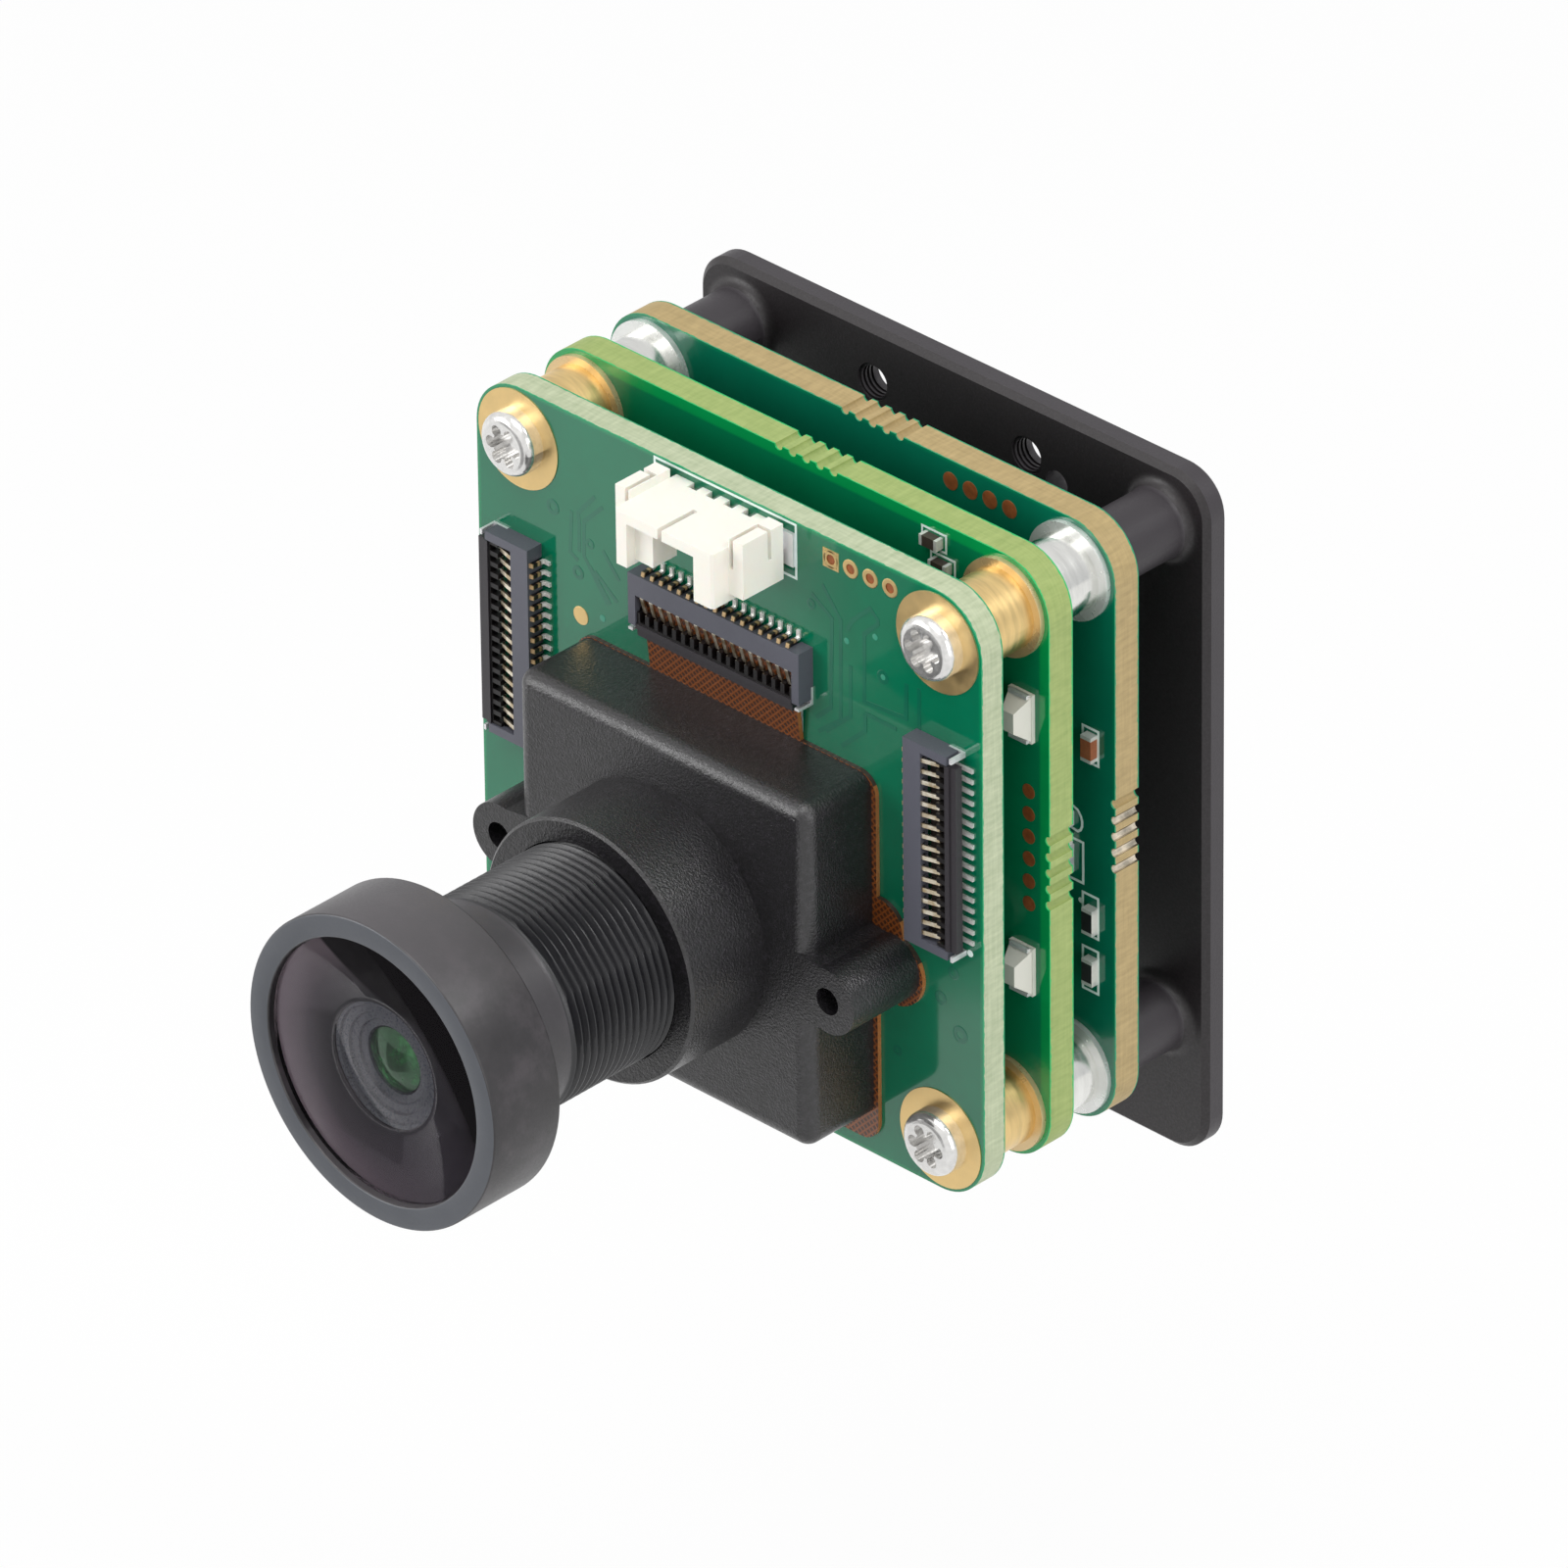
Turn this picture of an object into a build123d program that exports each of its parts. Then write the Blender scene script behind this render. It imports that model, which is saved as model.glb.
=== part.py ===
import os
from build123d import *

os.makedirs("parts", exist_ok=True)

# Base plate with four posts
plate_margin = 0.15
plate_above = 0.2
plate_below = 4.8
plate_thick = 1.45
plate_corner = 2.4
plate_chamfer = 0.33
post_length = 4.85
post_radius = 1.95
post_fillet = 0.6
tapped_radius = 1.05
tapped_pitch = 10.7
tapped_drop = 3.15
pin_hole_radius = 0.75
pin_hole_x = 7.4
pin_hole_drop = 4.0

# Circuit boards
board_side = 35.1
board_corner = 3.0
hole_inset = 2.975
hole_radius = 1.1
back_thick = 1.75
middle_thick = 1.75
front_thick = 1.55
rear_gap = 3.05
front_gap = 3.3
tab_notch_radius = 0.27
tab_notch_pitch = 0.95
tab_notches = 5
tab_top_x = 0.9
tab_side_z = 0.1
header_pitch = 1.35
header_hole_radius = 0.36
front_header_x = 9.31
front_header_drop = 1.15
back_header_x = 8.35
back_header_drop = 1.2
via_inset = 1.4
via_z = 1.1
via_pitch = 1.32
via_radius = 0.25

# Spacers, solder rings and ground pads
front_spacer_radius = 2.25
rear_spacer_radius = 2.15
ring_radius = 2.7
ring_height = 0.3
pad_radius = 2.8
pad_height = 0.05

# Corner screws
screw_radius = 0.95
screw_length = 16.0
head_radius = 1.78
head_height = 1.1
head_round = 0.5
lobe_circle = 0.86
lobe_radius = 0.33
recess_core = 0.7
recess_depth = 0.7
post_hole_radius = 0.97
post_hole_end = -1.3

# Lens holder and sensor board
lens_z = -5.05
holder_width = 20.3
holder_height = 20.2
holder_depth = 4.75
holder_round = 0.85
cavity_side = 15.6
cavity_depth = 3.2
neck_radius = 7.3
neck_length = 5.25
neck_chamfer = 0.15
mount_bore_radius = 6.05
ear_offset = 1.4
ear_drop = 0.4
ear_radius = 1.85
ear_hole_radius = 0.75
ear_base = 2.0
ear_root = 0.9
ear_nose = 0.9
flex_thick = 0.25
flex_side_margin = 0.3
flex_top_margin = 0.05
flex_bottom_margin = 1.5
flex_corner = 1.2
flex_lobe_radius = 2.05
flex_lobe_drop = 0.25
flex_bump_reach = 2.1
flex_bump_rise = 3.1
flex_bump_round = 1.6
tail_width = 10.5
tail_insert = 0.7
sensor_width = 11.0
sensor_height = 10.0
sensor_thick = 0.9
sensor_glass_thick = 0.45
holder_screw_radius = 0.7
holder_screw_head = 1.35
holder_screw_head_height = 0.9
holder_screw_reach = 2.6

# Lens
thread_radius = 6.0
thread_groove = 0.3
thread_groove_pitch = 1.0
relief_radius = 5.6
hood_radius = 8.6
hood_back = -38.7
hood_length = 4.7
hood_edge = 0.25
relief_length = 1.7
thread_end = -21.4
front_seat_radius = 7.3
front_seat_depth = 2.4
front_glass_inset = 0.65
front_glass_bulge = 0.5
front_hollow_radius = 3.6
front_glass_hollow = 1.35
throat_radius = 4.6
ring_bore = 2.3
ring_thick = 0.7
second_bulge = 0.9
second_radius = 3.3
stop_radius = 1.7
rear_glass_radius = 4.0
rear_bore_depth = 3.6

# Flat cable connectors with contacts from both sides
cable_conn_length = 11.9
cable_conn_height = 1.05
cable_conn_body = 1.2
cable_conn_depth = 3.0
cable_contacts = 17
cable_contact_pitch = 0.63
cable_contact_width = 0.26
contact_thick = 0.15
contact_foot = 0.65
beam_low = 0.7
beam_high = 0.9
beam_end = 2.15
beam_tip = 0.15
foot_strip_start = 0.9
front_foot_end = 3.9
end_wall = 0.5
latch_start = 2.2
latch_end = 3.55
latch_low = 0.5
latch_high = 0.95
latch_ridge_start = 2.85
latch_ridge_width = 0.3
latch_ridge_top = 1.05
latch_slot_width = 0.36
latch_slot_end = 2.75
cable_slot_height = 0.5
cable_lift = 0.2
nail_width = 0.3
nail_start = 2.3
nail_end = 3.35
pivot_v = 2.2
pivot_w = 0.5
pivot_radius = 0.18
pivot_play = 0.05
pivot_length = 0.24
side_conn_inset = 4.45
side_conn_z = 3.05
top_conn_drop = 6.8

# Wire connector
wire_half = 3.42
wire_off = 4.5
wire_drop = 0.55
wire_height = 3.15
wire_arm = 1.0
wire_arm_start = 0.45
wire_arm_off = 3.35
wire_arm_lift = 0.45
wire_arm_rise = 0.5
wire_roof = 0.6
wire_rear_wall = 0.9
wire_front_lip = 0.8
wire_left_wall = 0.87
wire_right_wall = 0.67
wire_right_block = 1.32
wire_step_width = 1.25
wire_step_start = 2.2
wire_step_end = 3.9
wire_step_drop = 0.25
wire_slit_x = -0.25
wire_slit_width = 0.3
wire_slit_start = 1.9
wire_notch_width = 0.62
wire_notch_depth = 0.5
wire_pocket_start = 1.3
wire_pocket_drop = 1.7
wire_pocket_gap = 0.25
wire_tab_thick = 0.2
wire_tab_reach = 0.42
wire_tab_height = 1.9
wire_pin_pitch = 1.25
wire_pin_side = 0.35

# Small parts on the boards
led_inset = 1.75
led_z = (8.83, -6.05)
led_base_thick = 0.25
led_base_width = 1.6
led_base_length = 2.8
led_height = 1.15
led_top_width = 0.8
led_top_length = 1.15
small_chip_length = 1.2
small_chip_width = 0.6
edge_chip_length = 1.5
edge_chip_width = 0.7
small_chip_height = 0.5
small_chip_end = 0.2
small_chip_insets = ((7.8, 1.1), (7.2, 2.35))
edge_chip_insets = ((1.55, 4.85), (1.5, -5.35), (1.5, -8.35), (3.25, -1.6))
chip_side = 17.0
chip_height = 1.6
stack_conn_z = -12.3
stack_conn_length = 16.0
stack_conn_width = 3.4
stack_engage = 0.9
socket_height = 1.7

# Board edges and what is set out from them
board_edge = board_side / 2
hole_pitch = board_side - 2 * hole_inset
plate_width = board_side + 2 * plate_margin
plate_top = board_edge + plate_above
plate_bottom = -board_edge - plate_below
via_x = board_edge - via_inset
led_x = board_edge - led_inset
side_conn_x = board_edge - side_conn_inset
top_conn_z = board_edge - top_conn_drop
wire_top = board_edge - wire_drop
wire_bottom = wire_top - wire_height
tail_top = top_conn_z - cable_conn_body + tail_insert
ear_pitch = holder_width + 2 * ear_offset
ear_z = lens_z - ear_drop

# Levels along the depth
plate_front = -plate_thick
back_rear = plate_front - post_length
back_front = back_rear - back_thick
middle_rear = back_front - rear_gap
middle_front = middle_rear - middle_thick
front_rear = middle_front - front_gap
front_face = front_rear - front_thick
holder_back = front_face - flex_thick
holder_front = holder_back - holder_depth
neck_front = holder_front - neck_length
hood_front = hood_back - hood_length
holder_base_z = lens_z - holder_height / 2


def facing(y, x=0.0, z=0.0):
    return Plane(origin=(x, y, z), x_dir=(1, 0, 0), z_dir=(0, -1, 0))


def save(item, name):
    item.part.label = name
    export_step(item.part, "parts/" + name + ".step")


def corner_rings(y, outer, inner, height):
    with BuildPart() as ring_set:
        with BuildSketch(facing(y)):
            with GridLocations(hole_pitch, hole_pitch, 2, 2):
                Circle(outer)
                Circle(inner, mode=Mode.SUBTRACT)
        extrude(amount=height)
    return ring_set


def board(rear, thick, header_x, header_drop, vias, tabs, ears):
    with BuildPart() as pcb:
        with BuildSketch(facing(rear)):
            RectangleRounded(board_side, board_side, board_corner)
            with GridLocations(hole_pitch, hole_pitch, 2, 2):
                Circle(hole_radius, mode=Mode.SUBTRACT)
            if tabs:
                with Locations((tab_top_x, board_edge)):
                    with GridLocations(tab_notch_pitch, 1, tab_notches, 1):
                        Circle(tab_notch_radius, mode=Mode.SUBTRACT)
                with Locations((board_edge, tab_side_z)):
                    with GridLocations(1, tab_notch_pitch, 1, tab_notches):
                        Circle(tab_notch_radius, mode=Mode.SUBTRACT)
            if header_x:
                with Locations((header_x, board_edge - header_drop)):
                    with GridLocations(header_pitch, 1, 4, 1):
                        Circle(header_hole_radius, mode=Mode.SUBTRACT)
            if vias:
                with Locations((via_x, via_z)):
                    with GridLocations(1, via_pitch, 1, vias):
                        Circle(via_radius, mode=Mode.SUBTRACT)
            if ears:
                with Locations((0, ear_z)):
                    with GridLocations(ear_pitch, 1, 2, 1):
                        Circle(holder_screw_radius + 0.1, mode=Mode.SUBTRACT)
        extrude(amount=thick)
    return pcb


# Base plate
with BuildPart() as base_plate:
    plate_height = plate_top - plate_bottom
    plate_mid = (plate_top + plate_bottom) / 2
    with BuildSketch(facing(0, 0, plate_mid)):
        RectangleRounded(plate_width, plate_height, plate_corner)
    extrude(amount=plate_thick)
    chamfer(base_plate.faces().sort_by(Axis.Y)[0].outer_wire().edges(), plate_chamfer)
    chamfer(base_plate.faces().sort_by(Axis.Y)[-1].outer_wire().edges(), plate_chamfer / 2)
    with BuildSketch(Plane.XY) as post_profile:
        with BuildLine():
            Polyline((0, plate_front + 0.2), (0, back_rear), (post_radius, back_rear),
                     (post_radius, plate_front - post_fillet))
            RadiusArc((post_radius, plate_front - post_fillet),
                      (post_radius + post_fillet, plate_front), post_fillet)
            Polyline((post_radius + post_fillet, plate_front),
                     (post_radius + post_fillet, plate_front + 0.2), (0, plate_front + 0.2))
        make_face()
    with BuildPart(mode=Mode.PRIVATE) as post:
        add(post_profile.sketch)
        revolve(axis=Axis.Y)
    for side in (-1, 1):
        for level in (-1, 1):
            with Locations((side * hole_pitch / 2, 0, level * hole_pitch / 2)):
                add(post.part)
    with BuildSketch(facing(post_hole_end)):
        with GridLocations(hole_pitch, hole_pitch, 2, 2):
            Circle(post_hole_radius)
    extrude(amount=post_length + plate_thick, mode=Mode.SUBTRACT)
    with BuildSketch(facing(0)):
        with Locations((0, plate_top - tapped_drop)):
            with GridLocations(tapped_pitch, 1, 2, 1):
                Circle(tapped_radius)
        with Locations((pin_hole_x, plate_top - pin_hole_drop)):
            Circle(pin_hole_radius)
    extrude(amount=plate_thick, mode=Mode.SUBTRACT)
save(base_plate, "base_plate")

# Three boards
back_board = board(back_rear, back_thick, back_header_x, back_header_drop, 0, True, False)
save(back_board, "back_board")
middle_board = board(middle_rear, middle_thick, 0, 0, 6, True, False)
save(middle_board, "middle_board")
front_board = board(front_rear, front_thick, front_header_x, front_header_drop, 0, False, True)
save(front_board, "front_board")

# Spacers, solder rings and ground pads
save(corner_rings(back_front, rear_spacer_radius, hole_radius, rear_gap), "rear_spacers")
save(corner_rings(back_front, ring_radius, rear_spacer_radius, ring_height), "rear_solder_rings")
save(corner_rings(middle_front, front_spacer_radius, hole_radius, front_gap), "front_spacers")
save(corner_rings(middle_front, ring_radius, front_spacer_radius, ring_height), "front_solder_rings")
save(corner_rings(front_face, pad_radius, hole_radius, pad_height), "ground_pads")

# Corner screws
head_seat = front_face - pad_height
with BuildPart() as one_screw:
    with BuildSketch(facing(head_seat)):
        Circle(head_radius)
    extrude(amount=head_height)
    fillet(one_screw.faces().sort_by(Axis.Y)[0].outer_wire().edges(), head_round)
    with BuildSketch(facing(head_seat)):
        Circle(screw_radius)
    extrude(amount=-screw_length)
    chamfer(one_screw.faces().sort_by(Axis.Y)[-1].outer_wire().edges(), 0.25)
    with BuildSketch(facing(head_seat - head_height)):
        Circle(recess_core)
        with PolarLocations(lobe_circle, 6):
            Circle(lobe_radius)
    extrude(amount=-recess_depth, mode=Mode.SUBTRACT)
with BuildPart() as corner_screws:
    for side in (-1, 1):
        for level in (-1, 1):
            with Locations((side * hole_pitch / 2, 0, level * hole_pitch / 2)):
                add(one_screw.part)
save(corner_screws, "corner_screws")

# Chip behind the back board
with BuildPart() as processor_chip:
    with BuildSketch(facing(back_rear + chip_height, 0, -1.0)):
        Rectangle(chip_side, chip_side)
    extrude(amount=chip_height)
    chamfer(processor_chip.faces().sort_by(Axis.Y)[-1].edges(), 0.2)
save(processor_chip, "processor_chip")


def stack_socket(rear, height):
    with BuildPart() as socket:
        with BuildSketch(facing(rear, 0, stack_conn_z)):
            Rectangle(stack_conn_length, stack_conn_width)
        extrude(amount=height)
        with BuildSketch(facing(rear - height, 0, stack_conn_z)):
            Rectangle(stack_conn_length - 1.6, stack_conn_width - 1.6)
        extrude(amount=-stack_engage - 0.2, mode=Mode.SUBTRACT)
    return socket


def stack_plug(level, height):
    with BuildPart() as plug:
        with BuildSketch(facing(level, 0, stack_conn_z)):
            Rectangle(stack_conn_length, stack_conn_width)
        extrude(amount=height)
        with BuildSketch(facing(level, 0, stack_conn_z)):
            Rectangle(stack_conn_length - 1.8, stack_conn_width - 1.8)
        extrude(amount=-stack_engage)
    return plug


# Board to board connectors in the two gaps
save(stack_socket(back_front, socket_height), "rear_stack_socket")
save(stack_plug(back_front - socket_height, rear_gap - socket_height), "rear_stack_plug")
save(stack_socket(middle_front, socket_height), "front_stack_socket")
save(stack_plug(middle_front - socket_height, front_gap - socket_height), "front_stack_plug")

# Side lights on the middle board
with BuildPart() as status_leds:
    for level in led_z:
        with BuildSketch(facing(middle_front, led_x, level)):
            Rectangle(led_base_width, led_base_length)
        extrude(amount=led_base_thick)
        with BuildSketch(facing(middle_front - led_base_thick, led_x, level)):
            Rectangle(led_base_width - 0.1, led_base_length - 0.3)
        with BuildSketch(facing(middle_front - led_height, led_x, level)):
            Rectangle(led_top_width, led_top_length)
        loft()
save(status_leds, "status_leds")


def chip_parts(level, seats, length, width, turned, ends):
    offset = (length - small_chip_end) / 2
    body = length - 2 * small_chip_end
    with BuildPart() as bodies:
        for x, z in seats:
            with BuildSketch(facing(level, x, z)):
                if ends:
                    for shift in (-offset, offset):
                        with Locations((0, shift) if turned else (shift, 0)):
                            Rectangle(width if turned else small_chip_end,
                                      small_chip_end if turned else width)
                else:
                    Rectangle(width if turned else body, body if turned else width)
            extrude(amount=small_chip_height)
    return bodies


# Small chips on the middle and back boards
middle_seats = [(board_edge - x, board_edge - z) for x, z in small_chip_insets]
middle_chips = (middle_front, middle_seats, small_chip_length, small_chip_width, False)
save(chip_parts(*middle_chips, False), "middle_chip_bodies")
save(chip_parts(*middle_chips, True), "middle_chip_ends")
back_seats = [(board_edge - x, z) for x, z in edge_chip_insets]
back_chips = (back_front, back_seats, edge_chip_length, edge_chip_width, True)
save(chip_parts(*back_chips, False), "back_chip_bodies")
save(chip_parts(*back_chips, True), "back_chip_ends")

# Sensor board with its ear lobes and cable tail
with BuildPart() as sensor_flex:
    flex_top = lens_z + holder_height / 2 + flex_top_margin
    flex_bottom = holder_base_z - flex_bottom_margin
    with BuildSketch(facing(front_face)):
        with Locations((0, (flex_top + flex_bottom) / 2)):
            RectangleRounded(holder_width + 2 * flex_side_margin, flex_top - flex_bottom, flex_corner)
        with Locations((0, ear_z - flex_lobe_drop)):
            with GridLocations(ear_pitch, 1, 2, 1):
                Circle(flex_lobe_radius)
        with Locations((0, lens_z + (flex_bump_rise - flex_bump_round) / 2)):
            bump_height = flex_bump_rise + flex_bump_round
            RectangleRounded(holder_width + 2 * flex_bump_reach, bump_height, flex_bump_round)
        with Locations((0, ear_z)):
            with GridLocations(ear_pitch, 1, 2, 1):
                Circle(holder_screw_radius + 0.1, mode=Mode.SUBTRACT)
    extrude(amount=flex_thick)
    with BuildSketch(Plane.YZ.offset(-tail_width / 2)):
        with BuildLine():
            low = flex_top - flex_corner
            bend = flex_top
            rise = top_conn_z - front_foot_end
            Polyline((front_face, low), (front_face, bend), (front_face - cable_lift, rise),
                     (front_face - cable_lift, tail_top), (front_face - cable_lift - flex_thick, tail_top),
                     (front_face - cable_lift - flex_thick, rise), (holder_back, bend),
                     (holder_back, low), close=True)
        make_face()
    extrude(amount=tail_width)
save(sensor_flex, "sensor_flex")

# Image sensor inside the holder
with BuildPart() as image_sensor:
    with BuildSketch(facing(holder_back, 0, lens_z)):
        Rectangle(sensor_width, sensor_height)
    extrude(amount=sensor_thick)
    with BuildSketch(facing(holder_back - sensor_thick, 0, lens_z)):
        Rectangle(sensor_width - 1.6, sensor_height - 1.6)
    extrude(amount=-0.3, mode=Mode.SUBTRACT)
save(image_sensor, "image_sensor")
with BuildPart() as sensor_glass:
    with BuildSketch(facing(holder_back - sensor_thick, 0, lens_z)):
        Rectangle(sensor_width - 0.6, sensor_height - 0.6)
    extrude(amount=sensor_glass_thick)
save(sensor_glass, "sensor_glass")

# Lens holder
with BuildPart() as lens_holder:
    with BuildSketch(facing(holder_back, 0, lens_z)):
        Rectangle(holder_width, holder_height)
    extrude(amount=holder_depth)
    upright = lens_holder.edges().filter_by(Axis.Y)
    rim = lens_holder.faces().sort_by(Axis.Y)[0].edges()
    fillet(list(upright) + list(rim), holder_round)
    with BuildSketch(facing(holder_back, 0, ear_z)):
        for side in (-1, 1):
            with BuildLine():
                root = side * (holder_width / 2 - ear_root)
                nose = side * (ear_pitch / 2 + ear_nose)
                nose_half = (ear_radius ** 2 - ear_nose ** 2) ** 0.5
                Polyline((root, ear_base), (nose, nose_half), (nose, -nose_half),
                         (root, -ear_base), (root, ear_base))
            make_face()
        with GridLocations(ear_pitch, 1, 2, 1):
            Circle(ear_radius)
    extrude(amount=holder_depth)
    with BuildSketch(facing(holder_front, 0, lens_z)):
        Circle(neck_radius)
    extrude(amount=neck_length)
    chamfer(lens_holder.faces().sort_by(Axis.Y)[0].outer_wire().edges(), neck_chamfer)
    with BuildSketch(facing(holder_back, 0, lens_z)):
        Rectangle(cavity_side, cavity_side)
    extrude(amount=cavity_depth, mode=Mode.SUBTRACT)
    with BuildSketch(facing(holder_back, 0, lens_z)):
        Circle(mount_bore_radius)
    extrude(amount=holder_depth + neck_length, mode=Mode.SUBTRACT)
    with BuildSketch(facing(holder_back, 0, ear_z)):
        with GridLocations(ear_pitch, 1, 2, 1):
            Circle(ear_hole_radius)
    extrude(amount=holder_depth, mode=Mode.SUBTRACT)
save(lens_holder, "lens_holder")

# Screws that hold the holder from behind the front board
with BuildPart() as holder_screws:
    with BuildSketch(facing(front_rear + holder_screw_head_height, 0, ear_z)):
        with GridLocations(ear_pitch, 1, 2, 1):
            Circle(holder_screw_head)
    extrude(amount=holder_screw_head_height)
    with BuildSketch(facing(front_rear, 0, ear_z)):
        with GridLocations(ear_pitch, 1, 2, 1):
            Circle(holder_screw_radius)
    extrude(amount=front_thick + flex_thick + holder_screw_reach)
    with BuildSketch(facing(front_rear + holder_screw_head_height, 0, ear_z)):
        with GridLocations(ear_pitch, 1, 2, 1):
            RegularPolygon(0.55, 6)
    extrude(amount=0.5, mode=Mode.SUBTRACT)
save(holder_screws, "holder_screws")

# Lens
lens_plane = Plane(origin=(0, 0, lens_z), x_dir=(1, 0, 0), z_dir=(0, 0, 1))
lens_axis = Axis((0, 0, lens_z), (0, 1, 0))
thread_start = hood_back + relief_length
seat_level = hood_front + front_seat_depth
ring_level = seat_level + ring_thick
second_level = seat_level + 3.5
stop_level = second_level + 5.5
rear_level = thread_end - 5.1
groove_count = int((thread_end - 1.0 - thread_start) / thread_groove_pitch)
thread_profile = []
for step in range(groove_count):
    middle = thread_start + (step + 0.8) * thread_groove_pitch
    thread_profile += [(thread_radius, middle - thread_groove), (thread_radius - thread_groove, middle),
                       (thread_radius, middle + thread_groove)]


def turned(points):
    with BuildPart() as piece:
        with BuildSketch(lens_plane):
            with BuildLine():
                Polyline(*points, close=True)
            make_face()
        revolve(axis=lens_axis)
    return piece


lens_barrel = turned([
    (front_seat_radius, hood_front), (hood_radius - hood_edge, hood_front),
    (hood_radius, hood_front + hood_edge), (hood_radius, hood_back - hood_edge),
    (hood_radius - hood_edge, hood_back), (relief_radius, hood_back), (relief_radius, thread_start),
    (thread_radius, thread_start), *thread_profile, (thread_radius, thread_end - 0.4),
    (thread_radius - 0.4, thread_end), (rear_glass_radius, thread_end), (rear_glass_radius, rear_level),
    (second_radius, rear_level), (second_radius, stop_level + 0.4), (stop_radius, stop_level + 0.4),
    (stop_radius, stop_level), (second_radius, stop_level), (second_radius, second_level),
    (throat_radius, second_level), (throat_radius, seat_level), (front_seat_radius, seat_level)])
save(lens_barrel, "lens_barrel")

glass_edge = hood_front + front_glass_inset


def dome_arc(radius, edge, apex):
    rise = apex - edge
    ball = (radius ** 2 + rise ** 2) / (2 * abs(rise))
    fall = ball - (ball ** 2 - radius ** 2 / 4) ** 0.5
    middle = apex - fall if rise > 0 else apex + fall
    ThreePointArc((0, apex), (radius / 2, middle), (radius, edge))


with BuildPart() as front_element:
    with BuildSketch(lens_plane):
        with BuildLine():
            dome_arc(front_seat_radius, glass_edge, glass_edge - front_glass_bulge)
            Polyline((front_seat_radius, glass_edge), (front_seat_radius, seat_level),
                     (front_hollow_radius, seat_level))
            dome_arc(front_hollow_radius, seat_level, seat_level - front_glass_hollow)
            Line((0, seat_level - front_glass_hollow), (0, glass_edge - front_glass_bulge))
        make_face()
    revolve(axis=lens_axis)
save(front_element, "front_element")

inner_ring = turned([(ring_bore, seat_level + 0.4), (ring_bore + 0.8, seat_level),
                     (throat_radius, seat_level), (throat_radius, ring_level), (ring_bore, ring_level)])
save(inner_ring, "inner_ring")

with BuildPart() as second_element:
    with BuildSketch(lens_plane):
        with BuildLine():
            dome_arc(ring_bore - 0.1, ring_level, ring_level - second_bulge)
            Polyline((ring_bore - 0.1, ring_level), (throat_radius, ring_level),
                     (throat_radius, second_level), (0, second_level), (0, ring_level - second_bulge))
        make_face()
    revolve(axis=lens_axis)
save(second_element, "second_element")

with BuildPart() as rear_element:
    with BuildSketch(lens_plane):
        with BuildLine():
            dome_arc(second_radius - 0.3, rear_level, rear_level + 0.5)
            Polyline((second_radius - 0.3, rear_level), (rear_glass_radius, rear_level),
                     (rear_glass_radius, thread_end - 1.6))
            dome_arc(rear_glass_radius, thread_end - 1.6, thread_end - 0.8)
            Line((0, thread_end - 0.8), (0, rear_level + 0.5))
        make_face()
    revolve(axis=lens_axis)
save(rear_element, "rear_element")

# Three flat cable connectors of one kind
inner_half = cable_conn_length / 2 - end_wall
latch_half = inner_half - 0.04
contact_half = (cable_contacts - 1) * cable_contact_pitch / 2
across = Plane.YZ

with BuildPart() as rear_contact:
    riser = 0.2
    with BuildSketch(across.offset(-cable_contact_width / 2)):
        with BuildLine():
            Polyline((-contact_foot, 0), (riser, 0), (riser, beam_low), (beam_end - beam_tip, beam_low),
                     (beam_end - beam_tip, beam_low - beam_tip), (beam_end, beam_low - beam_tip),
                     (beam_end, beam_high), (0, beam_high), (0, contact_thick),
                     (-contact_foot, contact_thick), close=True)
        make_face()
    extrude(amount=cable_contact_width)

with BuildPart() as front_contact:
    with BuildSketch(across.offset(-cable_contact_width / 2)):
        with Locations(((foot_strip_start + front_foot_end) / 2, contact_thick / 2)):
            Rectangle(front_foot_end - foot_strip_start, contact_thick)
    extrude(amount=cable_contact_width)

with BuildPart() as cable_contact_set:
    with GridLocations(cable_contact_pitch, 1, cable_contacts, 1):
        add(rear_contact.part)
    with GridLocations(cable_contact_pitch, 1, cable_contacts - 1, 1):
        add(front_contact.part)

with BuildPart() as cable_nails:
    with BuildSketch():
        with Locations((0, (nail_start + nail_end) / 2)):
            with GridLocations(cable_conn_length - nail_width, 1, 2, 1):
                Rectangle(nail_width, nail_end - nail_start)
    extrude(amount=contact_thick)
    with BuildSketch():
        with Locations((0, nail_end - contact_thick / 2)):
            with GridLocations(cable_conn_length - nail_width, 1, 2, 1):
                Rectangle(nail_width, contact_thick)
    extrude(amount=cable_conn_height)


def pivot_pair(radius, start, length):
    with BuildPart() as pair:
        for way in (-1, 1):
            with BuildSketch(across.offset(way * start)):
                with Locations((pivot_v, pivot_w)):
                    Circle(radius)
            extrude(amount=way * length)
    return pair


with BuildPart() as cable_housing:
    with BuildSketch():
        with Locations((0, cable_conn_body / 2)):
            Rectangle(cable_conn_length, cable_conn_body)
        with Locations((0, cable_conn_depth / 2)):
            with GridLocations(cable_conn_length - end_wall, 1, 2, 1):
                Rectangle(end_wall, cable_conn_depth)
    extrude(amount=cable_conn_height)
    with BuildSketch():
        with Locations((0, cable_conn_body - tail_insert / 2)):
            Rectangle(tail_width + 0.1, tail_insert + 0.1)
    extrude(amount=cable_slot_height, mode=Mode.SUBTRACT)
    add(cable_contact_set.part, mode=Mode.SUBTRACT)
    add(cable_nails.part, mode=Mode.SUBTRACT)
    add(pivot_pair(pivot_radius + pivot_play, inner_half, pivot_length + 0.06).part, mode=Mode.SUBTRACT)

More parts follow.
